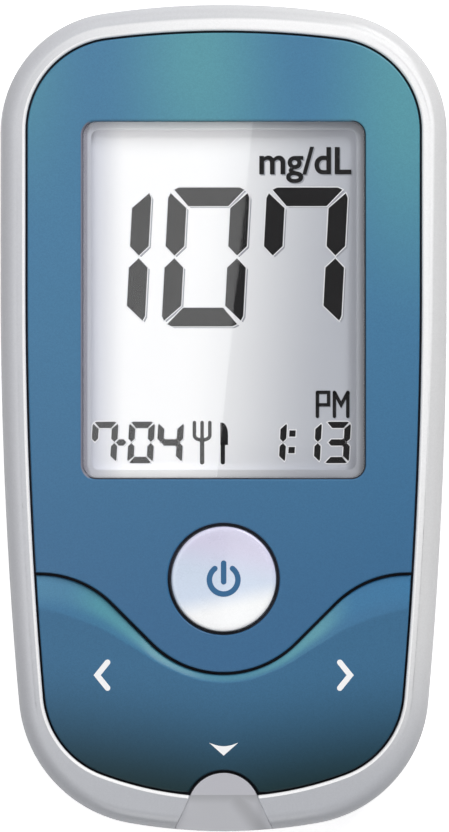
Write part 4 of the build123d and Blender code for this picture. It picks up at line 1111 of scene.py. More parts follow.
class METER_OT_front_shell(MeterOperator, Operator):
    """Build the pearl white rim of the front cover"""
    bl_idname = "meter.front_shell"
    bl_label = "Front shell"

    def build(self, form, keys, display, colours):
        case, recess = case_ring(), recess_ring(form)
        inner = self.lap_and_underside(form, case)
        edge = self.inner_edge(form, recess)
        outer = self.top_face(form, recess) + self.outer_edge(form, case)
        bm = bmesh.new()
        # this layer marks where the painted highlight along the lip lies
        lip_highlight = bm.verts.layers.float.new("lip_highlight")
        for number, row in enumerate(loft(bm, inner + edge + outer)):
            on_edge = len(inner) <= number < len(inner) + len(edge)
            for vert, (x, y, _, _) in zip(row, recess):
                vert[lip_highlight] = 1.0 if on_edge else self.lip_highlight_share(form, vert, x, y)
        piece = add_object("rim_shell", bm, rim_material(colours), "case")
        port = bmesh.new()
        slab(port, [(port_line(keys, SEAT_GAP), 0.0)], flat_at(form.crown_top + 2 * MM),
             flat_at(JOINT_Z - 2 * MM))
        cut(piece, port)
        piece.data.set_sharp_from_angle(angle=radians(HARD_EDGE))
        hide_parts("front_cover")

    def lap_and_underside(self, form, case):
        """Rings from the outside of the joint, through its lap, to the underside of the rim."""
        lap_in = form.wall / 2 - LAP_GAP
        return [raised(inset(case, 0.0), flat_at(JOINT_Z)),
                raised(inset(case, lap_in), flat_at(JOINT_Z)),
                raised(inset(case, lap_in), flat_at(JOINT_Z + LAP_RISE)),
                raised(inset(case, form.wall), flat_at(JOINT_Z + LAP_RISE)),
                raised(inset(case, form.wall), crown(form, form.rim_thick))]

    def inner_edge(self, form, recess):
        """Rings up the wall of the recess and round its edge."""
        edge, steps = form.rim_edge, 4
        rings = [raised(inset(recess, 0.0), crown(form, form.rim_thick))]
        for turn in [pi / 2 * i / steps for i in range(steps + 1)]:
            points = inset(recess, -edge * (1 - cos(turn)))
            rings.append(raised(points, crown(form, edge * (1 - sin(turn)))))
        return rings

    def top_face(self, form, recess):
        """Rings on the rim's face, where the painted highlight along the lip ends."""
        return [raised(inset(recess, -wide), crown(form))
                for wide in (form.rim_edge + 0.08 * MM, 0.7 * MM, 0.95 * MM)]

    def outer_edge(self, form, case):
        """Rings round the outer edge, which starts on the leaning side wall."""
        radius, steps = form.rim_round, 12
        rings = []
        for turn in [pi / 2 * (1 - i / steps) for i in range(steps + 1)]:
            points = []
            for x, y, nx, ny in case:
                lean = (crown_z(form, x, y) - radius - JOINT_Z) * tan(form.draft)
                cx, cy = x - (lean + radius) * nx, y - (lean + radius) * ny
                top = crown_z(form, cx, cy)
                points.append((cx + radius * cos(turn) * nx, cy + radius * cos(turn) * ny,
                               top - radius + radius * sin(turn)))
            rings.append(points)
        return rings

    def lip_highlight_share(self, form, vert, x, y):
        """How much a point takes part in the painted highlight along the lip beside x, y of the
        recess.
        """
        away = hypot(vert.co.x - x, vert.co.y - y)
        if away < 0.9 * form.rim_edge or vert.co.z < JOINT_Z + SIDE_CLEAR:
            return 0.0
        # the painted highlight widens towards the upper right, where the light comes from
        upper_right = min(1.0, max(0.0, (0.6 * x + y) / TOP))
        width = form.lip_highlight_width * (1 + form.lip_highlight_growth * upper_right)
        fade = 0.35
        return 0.5 * max(0.0, min(1.0, (1 + fade - away / width) / fade))


def port_line(keys, grow):
    """Clockwise plan of the strip port, grown on all sides and drawn past the case's end."""
    half, past_end, below_crease, steps = keys.port_half, 1.0 * MM, 0.5 * MM, 32
    centre = PORT_Y - sqrt(keys.port_radius ** 2 - half ** 2)
    out_y = BOTTOM - past_end
    out_half = PORT_MOUTH + (PORT_MOUTH - half) / (PORT_NOSE / past_end) + grow
    radius = keys.port_radius + grow
    low = PORT_Y - below_crease
    start = atan2(low - centre, sqrt(radius ** 2 - (low - centre) ** 2))
    turns = [pi - start + (2 * start - pi) * i / steps for i in range(steps + 1)]
    return [(-out_half, out_y)] + [
        (radius * cos(t), centre + radius * sin(t)) for t in turns] + [(out_half, out_y)]


def seam_corner(form, keys, gap):
    """Where the recess line, moved in by the gap, meets the end of the seam on the right."""
    end_y = seam_y(keys, HALF, gap)
    right = [p for p in inset(recess_ring(form), form.plate_gap) if p[0] > 0 and p[1] < 0]
    above = min((p for p in right if p[1] > end_y), key=lambda p: p[1])
    below = max((p for p in right if p[1] <= end_y), key=lambda p: p[1])
    part = (above[1] - end_y) / (above[1] - below[1])
    return above[0] + (below[0] - above[0]) * part


def plate_seat(form):
    """Depth of the underside of the faceplate, the scroll key and the window."""
    return form.plate_sink + form.plate_thick


def upper_line(form, keys):
    """Clockwise outline of the faceplate: the recess above the seam."""
    gap = -keys.seam_gap / 2
    right = [p for p in inset(recess_ring(form), form.plate_gap)
             if p[0] > 0 and p[1] > seam_y(keys, HALF, gap)]
    corner = seam_corner(form, keys, gap)
    half_steps = 75
    seam = [corner * (1 - i / half_steps) for i in range(2 * half_steps + 1)]
    return ([(-x, y) for x, y in reversed(right)] + [(0.0, TOP - form.rim_top - form.plate_gap)]
            + right + [(x, seam_y(keys, x, gap)) for x in seam])


def resample(points, count):
    """The same line with count equal steps."""
    runs = [0.0]
    for (ax, ay), (bx, by) in zip(points, points[1:]):
        runs.append(runs[-1] + hypot(bx - ax, by - ay))
    out = []
    at = 0
    for i in range(count + 1):
        run = runs[-1] * i / count
        while at < len(points) - 2 and runs[at + 1] < run:
            at += 1
        part = (run - runs[at]) / (runs[at + 1] - runs[at])
        (ax, ay), (bx, by) = points[at], points[at + 1]
        out.append((ax + (bx - ax) * part, ay + (by - ay) * part))
    return out


def key_lines(form, keys):
    """Upper and lower outline of the scroll key, from left to right: the seam, and the recess
    with the notch for the port."""
    gap = keys.seam_gap / 2
    radius = keys.port_radius + keys.seam_gap
    centre = PORT_Y - sqrt(keys.port_radius ** 2 - keys.port_half ** 2)
    right = [p for p in inset(recess_ring(form), form.plate_gap) if p[0] > 0
             and p[1] < seam_y(keys, HALF, gap) and hypot(p[0], p[1] - centre) > radius + gap]
    rise = right[-1][1] - centre
    turn = atan2(rise, sqrt(radius ** 2 - rise ** 2))
    arch_steps, side_steps = 40, 90
    turns = [pi - turn + (2 * turn - pi) * i / arch_steps for i in range(arch_steps + 1)]
    arch = [(radius * cos(t), centre + radius * sin(t)) for t in turns]
    corner = seam_corner(form, keys, gap)
    side = resample([(corner, seam_y(keys, corner, gap))] + right + [arch[-1]], side_steps)
    steps = arch_steps + 2 * side_steps
    seam = [corner * (2 * i / steps - 1) for i in range(steps + 1)]
    return ([(x, seam_y(keys, x, gap)) for x in seam],
            [(-x, y) for x, y in side] + arch[1:-1] + list(reversed(side)))


class METER_OT_face_panel(MeterOperator, Operator):
    """Build the blue faceplate with its window and button hole"""
    bl_idname = "meter.face_panel"
    bl_label = "Faceplate"

    def build(self, form, keys, display, colours):
        window = round_box(LENS_LOW.x - SEAT_GAP, LENS_HIGH.x + SEAT_GAP, LENS_LOW.y - SEAT_GAP,
                           LENS_HIGH.y + SEAT_GAP, form.window_corner, steps=10)
        hole = circle(0, BUTTON_Y, keys.button_radius + keys.button_ring, steps=96)
        face = crown(form, form.plate_sink)
        bm = bmesh.new()
        slab(bm, [(upper_line(form, keys), form.plate_edge), (window, form.window_edge),
                  (hole, form.plate_edge)], face, crown(form, plate_seat(form)), step=2.5 * MM)
        add_object("face_panel", bm, plate_material(colours), "case", ("faceplate",),
                   skin=face)


class METER_OT_scroll_key(MeterOperator, Operator):
    """Build the blue scroll key with its sloping band, rib, axle and pushers"""
    bl_idname = "meter.scroll_key"
    bl_label = "Scroll key"

    def build(self, form, keys, display, colours):
        seam_top = crown_z(form, 0, SEAM_LOW - keys.seam_gap / 2, form.plate_sink)

        def top(x, y):
            dome = crown_z(form, x, y, form.plate_sink)
            slope = seam_top - keys.band_depth * (1 - down_band(keys, x, y))
            soft = 0.05 * MM
            return (dome + slope - sqrt((dome - slope) ** 2 + soft ** 2)) / 2

        bm = bmesh.new()
        upper, under = key_lines(form, keys)
        mapped_plate(bm, upper, under, top, crown(form, plate_seat(form)), form.plate_edge,
                     rows=44)
        self.rib_and_axle(bm, form)
        self.pushers(bm, form, keys)
        key = add_object("rocker_key", bm, key_material(colours), "scroll_key", ("scroll_key",),
                         skin=top)
        band = key.data.attributes.new("band", "FLOAT", "POINT")
        for vert, item in zip(key.data.vertices, band.data):
            item.value = min(1.0, max(0.0, down_band(keys, vert.co.x, vert.co.y)))

    def rib_and_axle(self, bm, form):
        under = crown_z(form, 0, RIB_Y1, plate_seat(form)) - BODY_GAP
        block(bm, -RIB_HALF, RIB_HALF, RIB_Y0, RIB_Y1, AXLE_Z - AXLE_R, under)
        rod(bm, AXLE_R, (0, RIB_Y0 - AXLE_PIN, AXLE_Z), (0, RIB_Y1 + AXLE_PIN, AXLE_Z))

    def pushers(self, bm, form, keys):
        y = SEAM_LOW - keys.seam_gap
        for x in (-PUSHER_X, PUSHER_X):
            under = crown_z(form, x, y, plate_seat(form)) - BODY_GAP
            rod(bm, PUSHER_R, (x, y, PUSHER_Z), (x, y, under))


def down_band(keys, x, y):
    """How far a point lies across the key's sloping band: 0 at the seam, 1 at its crease."""
    part = min(1.0, max(0.0, (abs(x) - BAND_START) / (BAND_END - BAND_START)))
    wide = keys.band_middle + (keys.band_side - keys.band_middle) * part * part * (3 - 2 * part)
    return (seam_y(keys, x, keys.seam_gap / 2) - y) / wide


class METER_OT_power_cap(MeterOperator, Operator):
    """Build the pearl power button with its dished face and its sign"""
    bl_idname = "meter.power_cap"
    bl_label = "Power button"

    def build(self, form, keys, display, colours):
        face = crown_z(form, 0, BUTTON_Y, form.plate_sink) + BUTTON_PROUD
        lowest = face - keys.button_dish
        dish_r = keys.dish_radius

        def dish(r):
            return lowest + dish_r - sqrt(dish_r ** 2 - r * r)

        self.cap(keys, colours, dish, face, lowest)
        self.sign(keys, colours, lambda x, y: dish(hypot(x, y - BUTTON_Y)))

    def cap(self, keys, colours, dish, face, lowest):
        """The turned cap with its flange and stem, and the notch in the flange."""
        radius, edge, dish_r = keys.button_radius, keys.button_edge, keys.dish_radius
        land = min(radius - edge, sqrt(dish_r ** 2 - (dish_r - keys.button_dish) ** 2))
        flange_low = BUTTON_LOW.z + FLANGE_UP
        flange_top = flange_low + FLANGE_THICK
        inside, ceiling = radius - BUTTON_SKIN, lowest - BUTTON_SKIN
        dish_steps, edge_steps = 12, 5
        profile = [(land * i / dish_steps, dish(land * i / dish_steps)) for i in range(dish_steps + 1)]
        for turn in [pi / 2 * i / edge_steps for i in range(edge_steps + 1)]:
            profile.append((radius - edge + edge * sin(turn), face - edge + edge * cos(turn)))
        profile += [(radius, flange_top), (FLANGE_R, flange_top), (FLANGE_R, flange_low),
                    (inside, flange_low), (inside, ceiling), (STEM_R, ceiling),
                    (STEM_R, BUTTON_LOW.z), (0.0, BUTTON_LOW.z)]
        bm = bmesh.new()
        lathe(bm, profile, 0.0, BUTTON_Y, steps=96)
        cap = add_object("power_cap", bm, button_material(colours), "power_button", sharp=40)
        notch = bmesh.new()
        rim_y = BUTTON_Y + FLANGE_R
        block(notch, -NOTCH_HALF, NOTCH_HALF, rim_y - NOTCH_DEPTH, rim_y + 1.0 * MM,
              flange_low - 1.0 * MM, flange_top + 0.1 * MM)
        cut(cap, notch)
        cap.data.set_sharp_from_angle(angle=radians(40))
        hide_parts("power_button")

    def sign(self, keys, colours, hollow):
        """A broken ring with a bar in its gap."""
        ring_r, stroke, gap_turn, steps = 1.72 * MM, 0.66 * MM, radians(38), 48
        ring_y = BUTTON_Y - 0.1 * MM
        turns = [pi / 2 + gap_turn + (2 * pi - 2 * gap_turn) * i / steps for i in range(steps + 1)]
        broken_ring = [(ring_r * cos(t), ring_y + ring_r * sin(t)) for t in turns]
        bar = [(0, BUTTON_Y - 0.35 * MM), (0, BUTTON_Y + 1.9 * MM)]
        bm = bmesh.new()
        for line in (broken_ring, bar):
            ribbon(bm, line, stroke, hollow, keys.print_lift)
        add_object("power_sign", bm, print_material("blue print", colours.icon), "power_button")


def ribbon(bm, line, width, height, lift):
    """A flat printed stroke with round ends that lies on a surface."""
    sharpest, cap_steps = 0.35, 10
    points = [Vector(p) for p in line]
    left, right = [], []
    for i, p in enumerate(points):
        ahead = points[min(i + 1, len(points) - 1)] - points[max(i - 1, 0)]
        across = Vector((-ahead.y, ahead.x)).normalized()
        if 0 < i < len(points) - 1:
            one = (p - points[i - 1]).normalized()
            two = (points[i + 1] - p).normalized()
            mid = (one + two).normalized()
            across = Vector((-mid.y, mid.x)) / max(sharpest, mid.dot(one))
        left.append(p + across * width / 2)
        right.append(p - across * width / 2)

    def cap(centre, start):
        turns = [start - pi * i / cap_steps for i in range(1, cap_steps)]
        return [centre + Vector((cos(t), sin(t))) * width / 2 for t in turns]

    first, last = points[1] - points[0], points[-1] - points[-2]
    outline = left + cap(points[-1], atan2(last.y, last.x) + pi / 2)
    outline += list(reversed(right)) + cap(points[0], atan2(first.y, first.x) - pi / 2)
    slab(bm, [([(p.x, p.y) for p in outline], 0.0)],
         lambda x, y: height(x, y) + lift, lambda x, y: height(x, y) - lift / 2)


class METER_OT_window(MeterOperator, Operator):
    """Build the clear window, the print behind its border and the sleeve down to the display"""
    bl_idname = "meter.window"
    bl_label = "Window"

    def build(self, form, keys, display, colours):
        seat, wide, step = plate_seat(form), form.window_border, 3.0 * MM
        outer = self.line(0.0, form.window_corner - SEAT_GAP, steps=10)
        outer.reverse()
        hole = self.line(wide, 1.0 * MM)
        around_hole = self.line(wide - SLEEVE, 1.0 * MM)
        around_hole.reverse()

        pane, face = bmesh.new(), crown(form, form.lens_sink)
        slab(pane, [(outer, 0.08 * MM)], face, crown(form, seat - FILM - BODY_GAP), step)
        add_object("window_pane", pane, lens_material(), "case", ("window_lens",),
                   skin=face)
        film = bmesh.new()
        slab(film, [(outer, 0.0), (hole, 0.0)], crown(form, seat - FILM), crown(form, seat), step)
        add_object("window_border", film, border_material(form, colours), "case")
        sleeve = bmesh.new()
        slab(sleeve, [(around_hole, 0.0), (hole, 0.0)], crown(form, seat + BODY_GAP),
             flat_at(GLASS_Z + 2 * BODY_GAP))
        pale = plastic("frame pale", colours.frame_pale, roughness=0.5)
        add_object("window_sleeve", sleeve, pale, "case")

    def line(self, inwards, radius, steps=8):
        """The window's outline, moved inwards."""
        return round_box(LENS_LOW.x + inwards, LENS_HIGH.x - inwards, LENS_LOW.y + inwards,
                         LENS_HIGH.y - inwards, radius, steps)


SEGMENTS = {"0": "abcdef", "1": "bc", "3": "abcdg", "4": "bcfg", "7": "abcf"}


def segment_shapes(width, height, bar, gap):
    """Outlines of the seven segments of a digit whose lower left corner is the origin."""
    w, h, t, g, m = width, height, bar, gap / 2, height / 2
    d = g * 1.42          # half the gap, measured along a mitre
    upper_left = [(0, h - t * 0.45 - d), (t * 0.12, h - t * 0.2 - d), (t, h - t - d),
                  (t, m + t / 2 + g), (t / 2, m + g), (0, m + t / 2 + g)]
    top = [(t * 0.2 + d, h - t * 0.12), (t * 0.45 + d, h), (w - t * 0.45 - d, h),
           (w - t * 0.2 - d, h - t * 0.12), (w - t - d, h - t), (t + d, h - t)]
    return {"a": top, "f": upper_left,
            "b": [(w - x, y) for x, y in upper_left],
            "e": [(x, h - y) for x, y in upper_left],
            "c": [(w - x, h - y) for x, y in upper_left],
            "d": [(x, h - y) for x, y in top],
            "g": [(t / 2 + d, m), (t + g, m + t / 2), (w - t - g, m + t / 2),
                  (w - t / 2 - d, m), (w - t - g, m - t / 2), (t + g, m - t / 2)]}


def prism(bm, points, z0, z1):
    """An upright closed body over a line."""
    low = [bm.verts.new((x, y, z0)) for x, y in points]
    high = [bm.verts.new((x, y, z1)) for x, y in points]
    bm.faces.new(low)
    bm.faces.new(list(reversed(high)))
    bridge(bm, low, high)


def grown(points, by):
    """A closed line moved outwards, whichever way it runs."""
    area = sum(points[i - 1][0] * points[i][1] - points[i][0] * points[i - 1][1]
               for i in range(len(points)))
    return offset(points, by if area > 0 else -by)


def sign_shapes(sign, width, height, pitch, bar, gap):
    """Outlines of a digit, hyphen or colon, its share of the pitch and its shift to the left."""
    if sign == ":":
        dot = [(0, 0), (bar, 0), (bar, bar), (0, bar)]
        return [[(x - pitch * 0.02, height * up + y) for x, y in dot] for up in (0.24, 0.64)], 0.2, 0.0
    if sign == "-":
        return [segment_shapes(width * 0.72, height, bar, gap)["g"]], 0.26, pitch * 0.3
    cells = segment_shapes(width, height, bar, gap)
    return [cells[key] for key in SEGMENTS[sign]], 1.0, 0.0


def write_digits(bm, text, x, y, width, height, pitch, bar, gap, slant, grow, low, high):
    """Seven-segment digits from x on; a colon and a hyphen take less room."""
    for sign in text:
        shapes, room, back = sign_shapes(sign, width, height, pitch, bar, gap)
        for shape in shapes:
            placed = [(x - back + px + slant * py, y + py) for px, py in shape]
            prism(bm, grown(placed, grow) if grow else placed, low, high)
        x += pitch * room


class METER_OT_display(MeterOperator, Operator):
    """Build the display glass with its digits, unit and meal sign"""
    bl_idname = "meter.display"
    bl_label = "Display"

    def build(self, form, keys, display, colours):
        soft_copy("lcd_glass", "display_glass", display_material(colours), "case",
                  bevel=0.08 * MM)
        dark = print_material("segment black", colours.segment)
        shadow = print_material("segment shadow", (0.62, 0.63, 0.66))
        halo = print_material("segment halo", (0.93, 0.93, 0.94))
        # name, material, shift to the lower right, outward growth and height; the shadows are painted
        # shadows and the halos painted pale highlights round the segments
        for name, material, shift, grow, lift in (
                ("segment_shadows", shadow, 0.26 * MM, 0.0, 0.008 * MM),
                ("segment_halos", halo, 0.0, 0.12 * MM, 0.016 * MM),
                ("segments", dark, 0.0, 0.0, PRINT)):
            bm = bmesh.new()
            style = {"slant": tan(display.slant), "grow": grow, "low": GLASS_Z - PRINT_FOOT,
                     "high": GLASS_Z + lift}
            write_digits(bm, display.reading, READING_X + shift, READING_Y - shift * 0.8,
                         display.digit_width, display.digit_height, display.digit_pitch,
                         display.digit_bar, gap=0.34 * MM, **style)
            for words, x in ((display.date, DATE_X), (display.clock, CLOCK_X)):
                write_digits(bm, words, x + shift * 0.5, SMALL_Y - shift * 0.4,
                             display.small_width, display.small_height, display.small_pitch,
                             display.small_bar, gap=0.16 * MM, **style)
            add_object(name, bm, material, "case")
        self.unit(dark, shadow)
        self.meal_sign(dark)

    def unit(self, dark, shadow):
        """The unit and the half-day letters, each with a faint shadow to the lower right."""
        for name, material, shift, lift in (("unit_text", dark, 0.0, PRINT),
                                            ("unit_shadow", shadow, 0.14 * MM, 0.015 * MM)):
            text_piece(name, "mg/dL", UNIT_X + shift, UNIT_Y - shift, UNIT_WIDTH, UNIT_HEIGHT,
                       lift, material)
            bm = bmesh.new()
            for line in self.half_day(HALF_DAY_X + shift * 0.6, HALF_DAY_Y - shift * 0.6):
                ribbon(bm, line, 0.42 * MM, flat_at(GLASS_Z), lift)
            add_object(name + "_half_day", bm, material, "case")

    def half_day(self, x, y):
        """Centre lines of the letters P and M."""
        wide, tall, step = 1.35 * MM, 2.9 * MM, 2.05 * MM
        m, top, middle = x + step, y + tall, y + tall * 0.48
        return [[(x, y), (x, top)],
                [(x, top), (x + wide, top), (x + wide, middle), (x, middle)],
                [(m, y), (m, top)], [(m + wide * 1.2, y), (m + wide * 1.2, top)],
                [(m, top), (m + wide * 0.6, middle), (m + wide * 1.2, top)]]

    def meal_sign(self, dark):
        """A plain fork and knife beside the date."""
        bm = bmesh.new()
        low, high, stroke = SMALL_Y - 0.1 * MM, SMALL_Y + 4.9 * MM, 0.42 * MM

        def line(points, width):
            ribbon(bm, points, width, flat_at(GLASS_Z), PRINT)

        fork, knife = MEAL_X, MEAL_X + 2.5 * MM
        half, root, steps = 0.93 * MM, high - 1.55 * MM, 12
        turns = [pi + pi * i / steps for i in range(steps + 1)]
        bend = [(fork + half * cos(t), root + 0.558 * MM * sin(t)) for t in turns]
        line([(fork, low + stroke / 2), (fork, high - 1.9 * MM)], stroke * 1.25)
        line([(fork - half, high)] + bend + [(fork + half, high)], stroke)
        line([(fork, high - 2.1 * MM), (fork, high)], stroke)
        line([(knife, low + stroke / 2), (knife, high - 2.4 * MM)], stroke * 1.25)
        back, edge, heel, steps = knife - 0.3 * MM, knife + 0.62 * MM, high - 2.7 * MM, 8
        blade = [(back, heel), (edge, heel)]
        for turn in [pi / 2 * i / steps for i in range(steps + 1)]:
            blade.append((edge - 0.75 * MM * (1 - cos(turn)), high - 1.4 * MM * (1 - sin(turn))))
        blade.append((back, high))
        prism(bm, list(reversed(blade)), GLASS_Z - PRINT_FOOT, GLASS_Z + PRINT)
        add_object("meal_sign", bm, dark, "case")


def text_piece(name, words, x, y, width, height, lift, material):
    """Generic lettering, cut to a width and a cap height, lying on the display."""
    data = bpy.data.curves.new(name, "FONT")
    data.body = words
    data.size = 1.0
    data.offset = 0.018
    data.extrude = 0.5
    data.resolution_u = 6
    holder = bpy.data.objects.new(name, data)
    bpy.context.scene.collection.objects.link(holder)
    bpy.context.view_layer.update()
    graph = bpy.context.evaluated_depsgraph_get()
    mesh = bpy.data.meshes.new_from_object(holder.evaluated_get(graph), depsgraph=graph)
    bpy.data.objects.remove(holder)
    bpy.data.curves.remove(data)
    bm = bmesh.new()
    bm.from_mesh(mesh)
    bpy.data.meshes.remove(mesh)
    bmesh.ops.remove_doubles(bm, verts=bm.verts, dist=1e-5)
    places = [v.co.x for v in bm.verts]
    left, right = min(places), max(places)
    capital = 0.72        # height of a capital letter of the built-in font
    for vert in bm.verts:
        vert.co = (x + (vert.co.x - left) / (right - left) * width,
                   y + vert.co.y / capital * height,
                   GLASS_Z - PRINT_FOOT if vert.co.z < 0 else GLASS_Z + lift)
    add_object(name, bm, material, "case")


class METER_OT_key_marks(MeterOperator, Operator):
    """Print the two arrows and the strip mark on the scroll key"""
    bl_idname = "meter.key_marks"
    bl_label = "Printed marks"

    def build(self, form, keys, display, colours):
        sink, lift = form.plate_sink, keys.print_lift
        bm = bmesh.new()
        foot_x, tip_x, middle_y, rise = 14.0 * MM, 15.25 * MM, -31.0 * MM, 1.55 * MM
        stroke = 0.68 * MM
        for side in (-1, 1):
            arrow = [(side * foot_x, middle_y + rise), (side * tip_x, middle_y),
                     (side * foot_x, middle_y - rise)]
            ribbon(bm, arrow, stroke, crown(form, sink), lift)
        half, high, tip, hollow, steps = 1.75 * MM, -39.15 * MM, -40.7 * MM, 0.42 * MM, 12
        strip_mark = [(0.0, tip)]
        for i in range(steps + 1):
            strip_mark.append((half - 2 * half * i / steps, high - hollow * sin(pi * i / steps)))
        strip_mark.reverse()
        slab(bm, [(strip_mark, 0.0)], lambda x, y: crown_z(form, x, y, sink) + lift,
             lambda x, y: crown_z(form, x, y, sink) - lift)
        add_object("key_marks", bm, print_material("white print", colours.mark), "scroll_key")


class METER_OT_port_nose(MeterOperator, Operator):
    """Dress the strip port"""
    bl_idname = "meter.port_nose"
    bl_label = "Strip port"

    def build(self, form, keys, display, colours):
        soft_copy("strip_port", "port_nose", port_material(colours), "case", bevel=0.12 * MM)


class METER_OT_back(MeterOperator, Operator):
    """Dress the rear cover, the battery door and its latch"""
    bl_idname = "meter.back"
    bl_label = "Back"

    def build(self, form, keys, display, colours):
        material = plastic("back white", colours.back, roughness=0.5, grain=0.35, depth=0.012,
                           wear=0.08)
        soft_copy("rear_cover", "back_shell", material, "case")
        soft_copy("battery_door", "door_panel", material, "battery_door", bevel=0.1 * MM)
        soft_copy("door_latch", "door_hook", material, "battery_door", bevel=0.08 * MM)


class METER_OT_screws(MeterOperator, Operator):
    """Set the four case screws"""
    bl_idname = "meter.screws"
    bl_label = "Case screws"

    def build(self, form, keys, display, colours):
        material = metal("screw steel", (0.62, 0.62, 0.65), roughness=0.32)
        tree = screw_tree(material)
        mesh = bpy.data.meshes.new("screws")
        piece = bpy.data.objects.new("screws", mesh)
        bpy.context.scene.collection.objects.link(piece)
        low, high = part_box("case_screw")
        head, further_in = 1.9 * MM, 2.0 * MM
        values = {"Head radius": head, "Head height": 1.3 * MM, "Shank radius": 1.0 * MM,
                  "Length": high.z - low.z, "Upper X": high.x - head, "Upper Y": high.y - head,
                  "Lower X": high.x - head - further_in, "Lower Y": low.y + head, "Foot": low.z}
        modifier = piece.modifiers.new("screws", "NODES")
        modifier.node_group = tree
        for item in tree.interface.items_tree:
            if item.item_type == "SOCKET" and item.name in values:
                modifier[item.identifier] = values[item.name]
        settle(piece)
        piece.data.set_sharp_from_angle(angle=radians(35))
        finish_piece(piece, material, "case", ("case_screw",))


def screw_tree(material):
    """Geometry nodes: one cross-head screw set on four points."""
    tree = bpy.data.node_groups.new("case screws", "GeometryNodeTree")
    for name in ("Head radius", "Head height", "Shank radius", "Length", "Upper X", "Upper Y",
                 "Lower X", "Lower Y", "Foot"):
        tree.interface.new_socket(name=name, in_out="INPUT", socket_type="NodeSocketFloat")
    tree.interface.new_socket(name="Geometry", in_out="OUTPUT", socket_type="NodeSocketGeometry")
    nodes = Nodes(tree)
    given = nodes.add("NodeGroupInput").outputs
    result = nodes.add("NodeGroupOutput").inputs

    def vector(x=0.0, y=0.0, z=0.0):
        node = tree.nodes.new("ShaderNodeCombineXYZ")
        for key, value in (("X", x), ("Y", y), ("Z", z)):
            nodes.feed(node, key, value)
        return node.outputs[0]

    def moved(geometry, offset_by):
        node = nodes.add("GeometryNodeTransform", Geometry=geometry, Translation=offset_by)
        return node.outputs[0]

    head = nodes.add("GeometryNodeMeshCylinder", Vertices=48, Radius=given["Head radius"],
                     Depth=given["Head height"])
    head = moved(head.outputs["Mesh"], vector(z=nodes.maths("DIVIDE", given["Head height"], 2.0)))
    shank = nodes.add("GeometryNodeMeshCylinder", Vertices=24, Radius=given["Shank radius"],
                      Depth=given["Length"])
    in_head = nodes.maths("DIVIDE", given["Head height"], 2.0)
    middle = nodes.maths("ADD", nodes.maths("DIVIDE", given["Length"], 2.0), in_head)
    shank = moved(shank.outputs["Mesh"], vector(z=middle))
    screw = nodes.add("GeometryNodeMeshBoolean", {"operation": "UNION", "solver": "EXACT"})
    for part in (head, shank):
        tree.links.new(part, screw.inputs["Mesh 2"])
    cross = nodes.add("GeometryNodeMeshBoolean", {"operation": "DIFFERENCE", "solver": "EXACT"})
    tree.links.new(screw.outputs["Mesh"], cross.inputs["Mesh 1"])
    arm_length, arm_width, depth = 1.16, 0.27, 1.1     # shares of the head's radius and height
    long_side = nodes.maths("MULTIPLY", given["Head radius"], arm_length)
    short_side = nodes.maths("MULTIPLY", given["Head radius"], arm_width)
    deep = nodes.maths("MULTIPLY", given["Head height"], depth)
    for x, y in ((long_side, short_side), (short_side, long_side)):
        bar = nodes.add("GeometryNodeMeshCube", Size=vector(x, y, deep))
        tree.links.new(bar.outputs["Mesh"], cross.inputs["Mesh 2"])
    rows = nodes.add("GeometryNodeJoinGeometry")
    for x, y in (("Upper X", "Upper Y"), ("Lower X", "Lower Y")):
        left = nodes.maths("MULTIPLY", given[x], -1.0)
        row = nodes.add("GeometryNodeMeshLine", {"mode": "END_POINTS"}, Count=2)
        tree.links.new(vector(left, given[y], given["Foot"]), row.inputs["Start Location"])
        tree.links.new(vector(given[x], given[y], given["Foot"]), row.inputs["Offset"])
        tree.links.new(row.outputs["Mesh"], rows.inputs[0])
    placed = nodes.add("GeometryNodeInstanceOnPoints", Points=rows.outputs[0],
                       Instance=cross.outputs["Mesh"])
    real = nodes.add("GeometryNodeRealizeInstances", Geometry=placed.outputs[0])
    shade = nodes.add("GeometryNodeSetMaterial", Geometry=real.outputs[0], Material=material)
    tree.links.new(shade.outputs[0], result["Geometry"])
    return tree


class METER_OT_keypad(MeterOperator, Operator):
    """Build the rubber mat and the three domes under the keys"""
    bl_idname = "meter.keypad"
    bl_label = "Keypad"

    def build(self, form, keys, display, colours):
        material = plastic("keypad grey", (0.66, 0.66, 0.66), roughness=0.6, grain=0.3,
                           depth=0.006, mottle=0.08)
        low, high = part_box("keypad")
        mat_top = high.z - keys.dome_height
        mat = soft_copy("keypad", "keypad_mat", material, "case")
        tool = bmesh.new()
        block(tool, 2 * low.x, 2 * high.x, 2 * low.y, 0.0, mat_top, high.z + 1 * MM)
        cut(mat, tool)
        mat.data.set_sharp_from_angle(angle=radians(HARD_EDGE))
        push_x, push_y = high.x - keys.mat_edge, low.y + keys.mat_edge
        wide, narrow, hollow, soft = 3.2 * MM, 2.2 * MM, 2.0 * MM, 0.12 * MM
        foot, ceiling = mat_top - 0.02 * MM, mat_top + 0.1 * MM
        profile = [(0.0, ceiling), (hollow, ceiling), (hollow, foot),
                   (wide, foot), (wide, mat_top), (narrow + soft, high.z - soft),
                   (narrow, high.z - soft * 0.3), (narrow - soft, high.z), (0.0, high.z)]
        for name, x, y, joint in (("dome_power", 0.0, BUTTON_Y, "power_press"),
                                  ("dome_left", -push_x, push_y, "scroll_rock"),
                                  ("dome_right", push_x, push_y, "scroll_rock")):
            bm = bmesh.new()
            lathe(bm, profile, x, y, steps=48)
            dome = add_object(name, bm, material, "case")
            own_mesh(dome)


